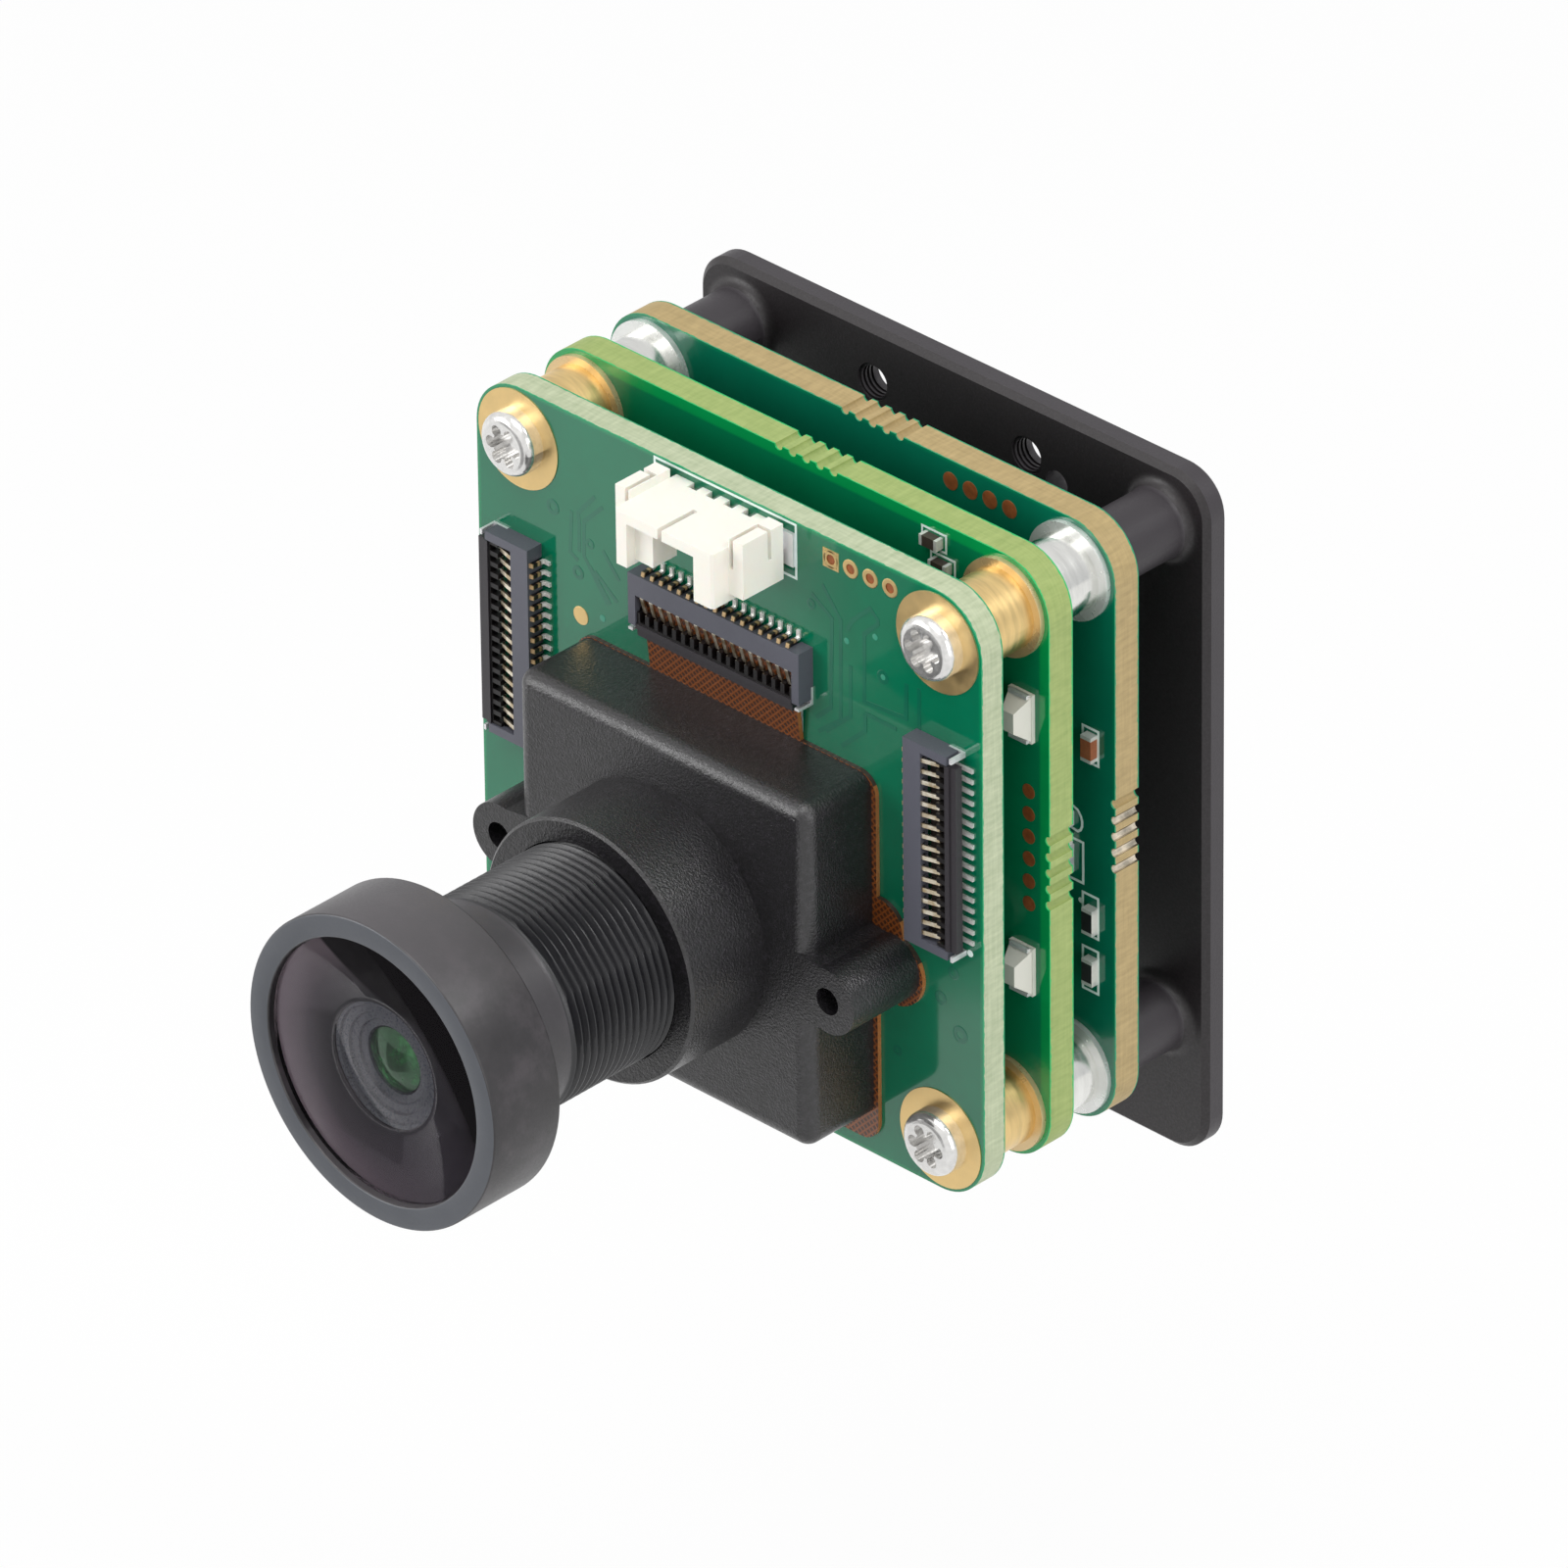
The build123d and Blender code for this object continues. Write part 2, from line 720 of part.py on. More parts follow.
with BuildPart() as cable_latch:
    with BuildSketch(Plane.XY.offset(latch_low)):
        with Locations((0, (latch_start + latch_end) / 2)):
            Rectangle(2 * latch_half, latch_end - latch_start)
        with Locations((0, (latch_start + latch_slot_end) / 2)):
            with GridLocations(cable_contact_pitch, 1, cable_contacts, 1):
                Rectangle(latch_slot_width, latch_slot_end - latch_start, mode=Mode.SUBTRACT)
    extrude(amount=latch_high - latch_low)
    with BuildSketch(Plane.XY.offset(latch_high)):
        with Locations((0, latch_ridge_start + latch_ridge_width / 2)):
            Rectangle(2 * latch_half, latch_ridge_width)
    extrude(amount=latch_ridge_top - latch_high)
    add(pivot_pair(pivot_radius, latch_half, pivot_length).part)

seats = {
    "top": Plane(origin=(0, front_face, top_conn_z), x_dir=(-1, 0, 0), z_dir=(0, -1, 0)),
    "left": Plane(origin=(-side_conn_x, front_face, side_conn_z), x_dir=(0, 0, 1), z_dir=(0, -1, 0)),
    "right": Plane(origin=(side_conn_x, front_face, side_conn_z), x_dir=(0, 0, -1), z_dir=(0, -1, 0)),
}
pieces = {"contacts": cable_contact_set, "nails": cable_nails, "housing": cable_housing,
          "latch": cable_latch}
for place, seat in seats.items():
    for kind, piece in pieces.items():
        with BuildPart() as seated:
            with Locations(seat):
                add(piece.part)
        save(seated, place + "_cable_" + kind)

# Wire connector
wire_level = facing(front_face)


def wire_box(x0, x1, w0, w1, z0, z1, mode=Mode.ADD):
    with BuildSketch(wire_level.offset(w0)) as outline:
        with Locations(((x0 + x1) / 2, (z0 + z1) / 2)):
            Rectangle(x1 - x0, z1 - z0)
    extrude(outline.sketch, amount=w1 - w0, mode=mode)


with BuildPart() as wire_pins:
    for step in (-1.5, -0.5, 0.5, 1.5):
        x = step * wire_pin_pitch
        half = wire_pin_side / 2
        wire_box(x - half, x + half, 1.5, 1.5 + wire_pin_side, wire_bottom + 0.5, wire_top - 0.2)
        wire_box(x - half, x + half, 0, 1.5, wire_top - 0.5, wire_top - 0.2)
save(wire_pins, "wire_connector_pins")

wire_side = wire_half + wire_arm
wire_arm_top = wire_top + wire_arm_rise
wire_arm_bottom = wire_bottom + wire_arm_lift
pocket_floor = wire_arm_top - wire_pocket_drop
tab_top = wire_arm_top - wire_arm_rise - 0.1
with BuildPart() as wire_tabs:
    for way in (-1, 1):
        inner, outer = sorted((way * (wire_side - 0.45), way * (wire_side + wire_tab_reach)))
        wire_box(inner, outer, 0, wire_tab_thick, tab_top - wire_tab_height, tab_top)
        inner, outer = sorted((way * (wire_side - 0.45), way * (wire_side - 0.25)))
        wire_box(inner, outer, wire_tab_thick, wire_pocket_start + 0.2, pocket_floor, tab_top)
save(wire_tabs, "wire_connector_tabs")

wire_roof_bottom = wire_top - wire_roof
wire_left = -wire_half + wire_left_wall
wire_pocket_side = wire_half + wire_pocket_gap + 0.08
with BuildPart() as wire_housing:
    wire_box(-wire_half, wire_half, 0, wire_off, wire_bottom, wire_top)
    for way in (-1, 1):
        inner, outer = sorted((way * wire_half, way * wire_side))
        wire_box(inner, outer, wire_arm_start, wire_arm_off, wire_arm_bottom, wire_arm_top)
    chamfer(wire_housing.edges().filter_by(Axis.Z).group_by(Axis.Y)[0], 0.15)
    lip_start = wire_off - wire_front_lip
    wire_box(wire_left, wire_half - wire_right_wall, wire_rear_wall, lip_start,
             wire_bottom, wire_roof_bottom, Mode.SUBTRACT)
    wire_box(wire_left, wire_half - wire_right_block, lip_start, wire_off,
             wire_bottom, wire_roof_bottom, Mode.SUBTRACT)
    wire_box(wire_left, wire_left + wire_step_width, wire_step_start, wire_step_end,
             wire_bottom + wire_step_drop, wire_roof_bottom)
    wire_box(wire_slit_x - wire_slit_width / 2, wire_slit_x + wire_slit_width / 2,
             wire_slit_start, wire_off, wire_roof_bottom, wire_top, Mode.SUBTRACT)
    for step in (-1.5, -0.5, 0.5, 1.5):
        x = step * wire_pin_pitch
        wire_box(x - wire_notch_width / 2, x + wire_notch_width / 2, 0, wire_notch_depth,
                 wire_roof_bottom, wire_top, Mode.SUBTRACT)
    for way in (-1, 1):
        inner, outer = sorted((way * (wire_half + 0.08), way * wire_pocket_side))
        wire_box(inner, outer, wire_pocket_start, wire_arm_off, pocket_floor, wire_arm_top, Mode.SUBTRACT)
        inner, outer = sorted((way * wire_pocket_side, way * wire_side))
        wire_box(inner, outer, wire_pocket_start, wire_pocket_start + wire_pocket_gap,
                 pocket_floor, wire_arm_top, Mode.SUBTRACT)
    add(wire_pins.part, mode=Mode.SUBTRACT)
    add(wire_tabs.part, mode=Mode.SUBTRACT)
save(wire_housing, "wire_connector_housing")
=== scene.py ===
import math
import bpy
from mathutils import Matrix, Vector


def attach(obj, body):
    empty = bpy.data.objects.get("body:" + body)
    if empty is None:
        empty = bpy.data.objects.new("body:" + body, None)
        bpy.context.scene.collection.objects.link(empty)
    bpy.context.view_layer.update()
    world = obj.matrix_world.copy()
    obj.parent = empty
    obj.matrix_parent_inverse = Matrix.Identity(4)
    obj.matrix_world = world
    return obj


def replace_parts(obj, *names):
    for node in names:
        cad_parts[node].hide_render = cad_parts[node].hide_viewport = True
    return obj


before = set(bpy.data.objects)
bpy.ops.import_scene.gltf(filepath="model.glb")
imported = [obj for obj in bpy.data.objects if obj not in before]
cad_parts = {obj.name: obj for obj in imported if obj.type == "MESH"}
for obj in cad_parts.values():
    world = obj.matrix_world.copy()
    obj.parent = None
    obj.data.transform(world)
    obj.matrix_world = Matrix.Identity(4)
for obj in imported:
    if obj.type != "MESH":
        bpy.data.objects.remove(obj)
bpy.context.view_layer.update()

MM = 0.001

# Levels of the model, in millimetres
FRONT_FACE = -17.7
FRONT_REAR = -16.15
MIDDLE_FRONT = -12.85
MIDDLE_REAR = -11.1
BACK_FRONT = -8.05
BACK_REAR = -6.3
PLATE_FRONT = -1.45
LENS_Z = -5.05
EDGE = 17.55
CORNER = 3.0
THREAD_START = -35.2
HOOD_LIMIT = -38.2


def srgb(r, g, b, a=1.0):
    def lin(v):
        v /= 255
        return v / 12.92 if v <= 0.04045 else ((v + 0.055) / 1.055) ** 2.4
    return (lin(r), lin(g), lin(b), a)


def add_node(tree, kind, inputs=None, **props):
    """New shader node: sockets given as inputs are linked, and plain values are set."""
    n = tree.nodes.new(kind)
    for key, value in props.items():
        setattr(n, key, value)
    for key, value in (inputs or {}).items():
        if isinstance(value, bpy.types.NodeSocket):
            tree.links.new(value, n.inputs[key])
        else:
            n.inputs[key].default_value = value
    return n


# Materials
class Mat:
    """Principled material with short calls for the nodes that drive it."""

    def __init__(self, name, color=(0.5, 0.5, 0.5, 1), rough=0.5, metal=0.0, ior=1.5, **extra):
        self.mat = bpy.data.materials.new(name)
        self.mat.use_nodes = True
        self.tree = self.mat.node_tree
        self.bsdf = self.tree.nodes["Principled BSDF"]
        self.set("Base Color", color)
        self.set("Roughness", rough)
        self.set("Metallic", metal)
        self.set("IOR", ior)
        for key, value in extra.items():
            self.set(key.replace("_", " "), value)

    def set(self, socket, value):
        if isinstance(value, bpy.types.NodeSocket):
            self.tree.links.new(value, self.bsdf.inputs[socket])
        else:
            self.bsdf.inputs[socket].default_value = value

    def node(self, kind, inputs=None, **props):
        return add_node(self.tree, kind, inputs, **props)

    def math(self, op, a, b=0.0, c=None):
        inputs = {0: a, 1: b}
        if c is not None:
            inputs[2] = c
        return self.node("ShaderNodeMath", inputs, operation=op).outputs[0]

    def coords(self):
        return self.node("ShaderNodeTexCoord").outputs["Object"]

    def normal(self):
        return self.split(self.node("ShaderNodeNewGeometry").outputs["Normal"])

    def split(self, vector):
        return self.node("ShaderNodeSeparateXYZ", {0: vector}).outputs

    def scaled(self, x, y, z):
        return self.node("ShaderNodeMapping", {"Vector": self.coords(), "Scale": (x, y, z)}).outputs[0]

    def noise(self, scale, detail=3.0, rough=0.55, vector=None):
        inputs = {"Vector": vector or self.coords(), "Scale": scale, "Detail": detail, "Roughness": rough}
        return self.node("ShaderNodeTexNoise", inputs).outputs[0]

    def ramp(self, factor, stops):
        n = self.node("ShaderNodeValToRGB", {0: factor})
        r = n.color_ramp
        while len(r.elements) < len(stops):
            r.elements.new(0.5)
        for e, (p, c) in zip(r.elements, stops):
            e.position = p
            e.color = c if len(c) == 4 else (*c, 1)
        return n.outputs[0]

    def mix(self, factor, a, b):
        return self.node("ShaderNodeMix", {0: factor, 6: a, 7: b}, data_type="RGBA").outputs[2]

    def remap(self, value, low, high, to_low, to_high):
        inputs = {0: value, 1: low, 2: high, 3: to_low, 4: to_high}
        return self.node("ShaderNodeMapRange", inputs).outputs[0]

    def bump(self, height, distance, strength=1.0):
        n = self.node("ShaderNodeBump", {"Height": height, "Distance": distance, "Strength": strength})
        self.set("Normal", n.outputs[0])


def shade(color, k):
    return (min(color[0] * k, 1), min(color[1] * k, 1), min(color[2] * k, 1), 1)


def board_material(name, face, rim, strip, edge_light, edge_dark, front, rear):
    """Mask on both faces, a paler strip along the rim, and woven glass on the sawn edge."""
    m = Mat(name, ior=1.62)
    normal = m.normal()
    place = m.split(m.coords())
    flat = m.math("GREATER_THAN", m.math("ABSOLUTE", normal[1]), 0.5)
    past = []
    for axis in (0, 2):
        beyond = m.math("SUBTRACT", m.math("ABSOLUTE", place[axis]), (EDGE - CORNER) * MM)
        past.append(m.math("MAXIMUM", beyond, 0.0))
    out = m.math("SQRT", m.math("ADD", m.math("POWER", past[0], 2.0), m.math("POWER", past[1], 2.0)))
    cloud = m.noise(300, 3)
    mask = m.mix(cloud, shade(face, 0.86), shade(face, 1.12))
    near = m.remap(out, (CORNER - strip - 0.08) * MM, (CORNER - strip + 0.08) * MM, 0, 1)
    mask = m.mix(near, mask, m.mix(cloud, shade(rim, 0.88), shade(rim, 1.1)))
    weave = m.noise(1.0, 3, vector=m.scaled(4200, 900, 4200))
    layers = m.noise(1.0, 3, vector=m.scaled(420, 7500, 420))
    grain = m.math("ADD", m.math("MULTIPLY", weave, 0.6), m.math("MULTIPLY", layers, 0.4))
    edge = m.mix(m.remap(grain, 0.25, 0.75, 0, 1), edge_dark, edge_light)
    ragged = m.math("MULTIPLY", m.noise(2600, 2), 0.16 * MM)
    lip = m.math("MINIMUM", m.math("ABSOLUTE", m.math("SUBTRACT", place[1], front * MM)),
                 m.math("ABSOLUTE", m.math("SUBTRACT", place[1], rear * MM)))
    edge = m.mix(m.math("LESS_THAN", lip, ragged), edge, shade(rim, 1.5))
    m.set("Base Color", m.mix(flat, edge, mask))
    m.set("Roughness", m.remap(flat, 0, 1, 0.62, 0.07))
    ripple = m.math("MULTIPLY", m.noise(900, 2), 0.12)
    m.bump(m.mix(flat, m.remap(grain, 0, 1, 0, 1), ripple), 0.00002, 0.35)
    return m.mat


def plastic(name, color, rough=0.5, grain=9000, depth=0.000006, spread=0.1):
    m = Mat(name, color, rough)
    n = m.noise(grain, 4)
    m.set("Base Color", m.mix(m.noise(420, 3), shade(color, 1 - spread), shade(color, 1 + spread)))
    m.set("Roughness", m.remap(n, 0.3, 0.7, max(rough - 0.08, 0.02), rough + 0.08))
    m.bump(n, depth)
    return m.mat


def metal(name, color, rough=0.3, brush=(400, 400, 400), spread=0.12, depth=0.000002, tone=None,
          amount=1.0):
    m = Mat(name, color, rough, amount)
    n = m.noise(1.0, 3, vector=m.scaled(*brush))
    light = tone or shade(color, 1 + spread)
    m.set("Base Color", m.mix(m.remap(n, 0.35, 0.65, 0, 1), shade(color, 1 - spread), light))
    m.set("Roughness", m.remap(n, 0.3, 0.7, max(rough - 0.07, 0.02), rough + 0.07))
    m.bump(n, depth)
    return m.mat


front_mask = board_material("front_board_mask", srgb(2, 108, 76), srgb(4, 130, 84), 0.16,
                            srgb(200, 208, 176), srgb(156, 170, 134), FRONT_FACE, FRONT_REAR)
middle_mask = board_material("middle_board_mask", srgb(6, 120, 78), srgb(8, 152, 80), 0.62,
                             srgb(168, 184, 112), srgb(134, 156, 84), MIDDLE_FRONT, MIDDLE_REAR)
back_mask = board_material("back_board_mask", srgb(8, 106, 80), srgb(10, 124, 84), 0.14,
                           srgb(190, 166, 116), srgb(154, 134, 88), BACK_FRONT, BACK_REAR)
silk = plastic("silk_white", srgb(224, 240, 234), 0.55, 4000, 0.000002, 0.05)
trace_mask = Mat("trace_mask", srgb(2, 98, 74), 0.12, ior=1.62)
trace_mask.set("Base Color", trace_mask.mix(trace_mask.noise(500, 2), srgb(2, 92, 70), srgb(4, 106, 78)))
trace_mask = trace_mask.mat
pale_mask = plastic("pale_mask", srgb(56, 142, 116), 0.2, 4000, 0.000002, 0.08)


def barrel_material():
    """Satin hood with a painted sheen that pales its front face and a painted highlight on faces that look
    up, a plain band behind it and a darker turned thread.
    """
    m = Mat("barrel_anodised", ior=1.58)
    depth = m.split(m.coords())[1]
    hood = m.math("LESS_THAN", depth, HOOD_LIMIT * MM)
    plain = m.math("LESS_THAN", depth, THREAD_START * MM)
    face = m.math("LESS_THAN", m.normal()[1], -0.8)
    turning = m.noise(1.0, 2, vector=m.scaled(60, 26000, 60))
    speck = m.noise(9000, 4)
    blot = m.noise(330, 5, 0.7)
    satin_and_sheen = m.ramp(blot, [(0.34, srgb(28, 25, 28)), (0.5, srgb(38, 35, 38)), (0.66, srgb(58, 53, 57))])
    # Painted highlight: faces that look up are lightened toward pale grey.
    painted_top_highlight = m.remap(m.normal()[2], 0.65, 1.0, 0, 0.7)
    satin_and_sheen = m.mix(painted_top_highlight, satin_and_sheen, srgb(84, 81, 84))
    # Painted sheen: the front face is paler and a little blue.
    satin_and_sheen = m.mix(face, satin_and_sheen, m.mix(blot, srgb(68, 71, 77), srgb(82, 85, 91)))
    back = m.mix(blot, srgb(13, 13, 17), srgb(21, 21, 27))
    back = m.mix(plain, back, m.mix(blot, srgb(38, 36, 39), srgb(66, 63, 67)))
    m.set("Base Color", m.mix(hood, back, satin_and_sheen))
    m.set("Roughness", m.remap(speck, 0.3, 0.7, 0.36, 0.46))
    m.bump(m.math("ADD", turning, speck), 0.000006, 0.6)
    return m.mat


def plate_material():
    """Bead-blasted black anodising, with a painted sheen that makes the machined edges a little paler."""
    m = Mat("plate_anodised", rough=0.45, ior=1.5)
    grain = m.noise(7000, 4, 0.7)
    cloud = m.noise(160, 4)
    normal = m.normal()
    side = m.math("LESS_THAN", m.math("ABSOLUTE", normal[1]), 0.35)
    deep = m.mix(cloud, srgb(24, 20, 22), srgb(34, 29, 31))
    deep = m.mix(m.remap(grain, 0.45, 0.7, 0, 0.5), deep, srgb(52, 48, 51))
    # Painted sheen: the faces across the plate's edges are paler than its front and back.
    m.set("Base Color", m.mix(side, deep, m.mix(cloud, srgb(46, 42, 46), srgb(58, 54, 58))))
    m.set("Roughness", m.remap(grain, 0.3, 0.7, 0.52, 0.38))
    m.bump(grain, 0.00001)
    return m.mat


plate_black = plate_material()


def holder_material():
    """Spark-textured black moulding."""
    m = Mat("holder_plastic", rough=0.35, ior=1.66)
    grain = m.noise(3600, 5, 0.7)
    cloud = m.noise(300, 3)
    dark = m.mix(cloud, srgb(15, 14, 16), srgb(21, 20, 22))
    body = m.mix(m.remap(grain, 0.45, 0.7, 0, 1), dark, m.mix(cloud, srgb(32, 30, 34), srgb(48, 45, 50)))
    m.set("Base Color", body)
    m.set("Roughness", m.remap(grain, 0.3, 0.7, 0.42, 0.26))
    m.bump(m.noise(7000, 3), 0.00004)
    return m.mat


holder_black = holder_material()
barrel_black = barrel_material()
brass = metal("turned_brass", srgb(232, 202, 142), 0.36, (500, 3000, 500), 0.1, 0.000003)
tinned = metal("tinned_spacer", srgb(232, 232, 228), 0.2, (500, 3000, 500), 0.06, 0.000002)
plug_brown = metal("via_copper", srgb(150, 84, 44), 0.4, (2600, 2600, 2600), 0.2, 0.000006,
                   amount=0.25)
ring_brass = metal("flange_brass", srgb(222, 196, 150), 0.3, (700, 700, 700), 0.06, 0.000002,
                   amount=0.6)
ring_tin = metal("flange_tin", srgb(232, 232, 230), 0.26, (700, 700, 700), 0.06, 0.000002, amount=0.6)
tab_tin = metal("tab_tin", srgb(236, 236, 238), 0.45, (900, 900, 900), 0.05, 0.000004, amount=0.6)
solder = metal("bright_solder", srgb(214, 214, 210), 0.16, (2600, 2600, 2600), 0.08, 0.000012)
gold = metal("gold_pad", srgb(240, 208, 146), 0.36, (900, 900, 900), 0.05, 0.000002)
chrome = metal("screw_plating", srgb(226, 225, 223), 0.19, (3000, 3000, 3000), 0.07, 0.000008, amount=0.82)
connector_black = plastic("connector_plastic", srgb(86, 87, 97), 0.42, 8000, 0.000006, 0.08)
nylon = plastic("white_nylon", srgb(243, 240, 230), 0.42, 5000, 0.000006, 0.02)
for socket, value in (("Subsurface Weight", 0.15), ("Subsurface Scale", 0.0006)):
    nylon.node_tree.nodes["Principled BSDF"].inputs[socket].default_value = value
led_white = plastic("led_body", srgb(226, 224, 214), 0.35, 4000, 0.000006, 0.03)
chip_black = plastic("chip_moulding", srgb(34, 34, 36), 0.5, 9000, 0.000008, 0.1)
chip_brown = plastic("chip_ceramic", srgb(64, 54, 48), 0.4, 6000, 0.000005, 0.15)
chip_tin = metal("chip_end_tin", srgb(234, 232, 228), 0.42, (3000, 3000, 3000), 0.06, 0.000008,
                 amount=0.5)
glass_clear = Mat("sensor_window", (0.9, 0.95, 0.93, 1), 0.02, ior=1.5)
glass_clear.set("Transmission Weight", 1.0)
glass_clear.set("Roughness", glass_clear.remap(glass_clear.noise(500, 2), 0, 1, 0.01, 0.03))
glass_clear = glass_clear.mat


def contact_material():
    """Bright soldered feet, risers darkened with painted shade, and a gilt spot at mid height and at the
    top.
    """
    m = Mat("contact_plating", rough=0.34, metal=0.35)
    height = m.math("SUBTRACT", FRONT_FACE * MM, m.split(m.coords())[1])
    level = m.remap(height, 0.0, 1.0 * MM, 0, 1)
    worn = m.noise(2600, 3)
    # Tone by height: the near-black bands on the risers are painted shade.
    tone = m.ramp(level, [(0.0, srgb(248, 248, 246)), (0.26, srgb(236, 234, 228)), (0.32, srgb(40, 32, 27)),
                          (0.4, srgb(196, 164, 118)), (0.5, srgb(196, 164, 118)), (0.56, srgb(38, 30, 26)),
                          (0.78, srgb(42, 34, 28)), (0.86, srgb(190, 160, 116))])
    m.set("Base Color", m.mix(m.remap(worn, 0.5, 0.8, 0, 0.4), tone, srgb(120, 108, 92)))
    m.set("Roughness", m.remap(worn, 0.3, 0.7, 0.26, 0.4))
    m.bump(worn, 0.000004)
    return m.mat


contact_plating = contact_material()
# Gilding whose near-white tone, scattered by noise, is a painted highlight.
beam_gold = metal("beam_gilding", srgb(224, 200, 158), 0.36, (2000, 2000, 2000), 0.3, 0.000004,
                  srgb(246, 238, 220))
# Dark brown sheet that stands for the shade between the contact bars: painted shade.
bar_shade_brown = plastic("contact_bar_shade", srgb(40, 31, 26), 0.6, 6000, 0.000008, 0.2)
notch_tin = metal("notch_tin", srgb(206, 196, 178), 0.34, (1500, 1500, 1500), 0.35, 0.00001)


def latch_material(name, axis, sign, limit):
    """Moulded latch, darkened by painted shade to nearly black between its comb teeth."""
    m = Mat(name, rough=0.42)
    # Painted shade: the latch's comb part is made nearly black.
    comb = m.math("LESS_THAN", m.math("MULTIPLY", m.split(m.coords())[axis], sign), limit * MM)
    grain = m.noise(8000, 4)
    m.set("Base Color", m.mix(comb, m.mix(grain, srgb(44, 41, 45), srgb(54, 51, 55)),
                              m.mix(grain, srgb(15, 13, 14), srgb(24, 21, 22))))
    m.bump(grain, 0.000006)
    return m.mat


def chip_body_material():
    """Dark printed top with pale ceramic sides, one of them a brown capacitor."""
    m = Mat("chip_resistor", rough=0.42)
    normal = m.normal()
    top = m.math("LESS_THAN", normal[1], -0.5)
    upper = m.math("GREATER_THAN", m.split(m.coords())[2], 0.0)
    grain = m.noise(4200, 3)
    pale = m.mix(grain, srgb(212, 210, 202), srgb(234, 232, 226))
    brown = m.mix(grain, srgb(138, 78, 50), srgb(176, 108, 72))
    dark = m.mix(grain, srgb(24, 24, 26), srgb(44, 44, 46))
    m.set("Base Color", m.mix(upper, m.mix(top, pale, dark), brown))
    m.bump(grain, 0.000006)
    return m.mat


chip_resistor = chip_body_material()
HATCH_PITCH = 0.42 * MM


def flex_material():
    """Thin amber film with a hatched copper screen, paler on its cut edges, but darker on the edges that
    face up.
    """
    m = Mat("sensor_flex_film", rough=0.3, ior=1.6)
    p = m.split(m.coords())
    turn = 6.2832 / HATCH_PITCH
    a = m.math("SINE", m.math("MULTIPLY", m.math("ADD", p[0], p[2]), turn))
    b = m.math("SINE", m.math("MULTIPLY", m.math("SUBTRACT", p[0], p[2]), turn))
    hatch = m.remap(m.math("MAXIMUM", a, b), 0.2, 0.8, 0, 1)
    copper_film = m.mix(hatch, srgb(66, 34, 14), srgb(134, 72, 26))
    normal = m.normal()
    flat = m.math("GREATER_THAN", m.math("ABSOLUTE", normal[1]), 0.5)
    facing_up = m.math("GREATER_THAN", normal[2], 0.5)
    rim = m.mix(m.noise(900, 2), srgb(150, 88, 42), srgb(192, 128, 74))
    rim = m.mix(facing_up, rim, srgb(60, 46, 40))
    m.set("Base Color", m.mix(flat, rim, copper_film))
    m.set("Roughness", m.remap(m.noise(1500, 2), 0.3, 0.7, 0.22, 0.4))
    m.bump(hatch, 0.00001, 0.5)
    return m.mat


flex_film = flex_material()


def lens_glass(name, tint, coat, ior):
    """Coated glass: the coating takes most of the reflection off."""
    m = Mat(name, tint, 0.0, ior=ior)
    m.set("Transmission Weight", 1.0)
    m.set("Specular Tint", coat)
    m.set("Roughness", m.remap(m.noise(300, 2), 0, 1, 0.0, 0.01))
    return m.mat


def coated_element():
    """Deep green coating, mottled with painted reflections: the paler patches are painted glints of the
    elements behind it.
    """
    m = Mat("second_element_coating", srgb(20, 60, 34), 0.06, ior=1.8)
    patch = m.noise(520, 3, 0.7)
    # Painted reflections: the pale green stops stand for glints from the elements behind.
    m.set("Base Color", m.ramp(patch, [(0.36, srgb(6, 18, 10)), (0.5, srgb(16, 58, 26)),
                                       (0.6, srgb(36, 100, 50)), (0.76, srgb(90, 160, 100))]))
    m.set("Specular Tint", (0.5, 1.0, 0.6, 1))
    m.bump(m.noise(500, 1), 0.00006, 0.4)
    return m.mat


second_glass = coated_element()

# Painted black reflection on the dish: level over the axis and side of its bow in millimetres, curve per
# metre
DARK_LEVEL, DARK_SIDE, DARK_BOW = 3.3, 3.0, 50.0


def dish_material():
    """Back of the front element, grey with painted reflections: a painted pale sheen toward the left rim, a
    painted dark reflection on the right and a painted black reflection under the top.
    """
    m = Mat("front_dish_coat_and_reflection", rough=0.42, Specular_IOR_Level=0.06)
    place = m.split(m.coords())
    z = m.math("SUBTRACT", place[2], LENS_Z * MM)
    out = m.math("SQRT", m.math("ADD", m.math("POWER", place[0], 2.0), m.math("POWER", z, 2.0)))
    fade = m.remap(out, 3.6 * MM, 7.2 * MM, 0, 1)
    # Painted sheen: paler toward the rim.
    tone = m.ramp(fade, [(0.0, srgb(54, 55, 57)), (0.45, srgb(78, 73, 78)), (1.0, srgb(126, 113, 121))])
    # Painted dark reflection toward the right side.
    side = m.remap(m.math("SUBTRACT", place[0], m.math("MULTIPLY", z, 0.4)), -3.0 * MM, 6.5 * MM, 0, 0.92)
    tone = m.mix(side, tone, srgb(36, 31, 42))
    # Painted black reflection in an area under the top, bounded by a bow.
    bow = m.math("MULTIPLY", m.math("POWER", m.math("SUBTRACT", place[0], DARK_SIDE * MM), 2.0), DARK_BOW)
    top = m.math("SUBTRACT", z, m.math("ADD", bow, DARK_LEVEL * MM))
    m.set("Base Color", m.mix(m.remap(top, -0.12 * MM, 0.12 * MM, 0, 1), tone, srgb(9, 7, 9)))
    m.set("Roughness", m.remap(m.noise(700, 2), 0.3, 0.7, 0.38, 0.46))
    return m.mat


dish_coat_and_reflection = dish_material()
front_glass = lens_glass("front_element_glass", (0.96, 0.95, 0.96, 1), (0.22, 0.16, 0.24, 1), 1.5)
inner_black = plastic("lens_interior", srgb(16, 15, 17), 0.6, 9000, 0.00001, 0.1)
ring_grey = plastic("lens_inner_ring", srgb(78, 82, 90), 0.3, 9000, 0.000006, 0.1)

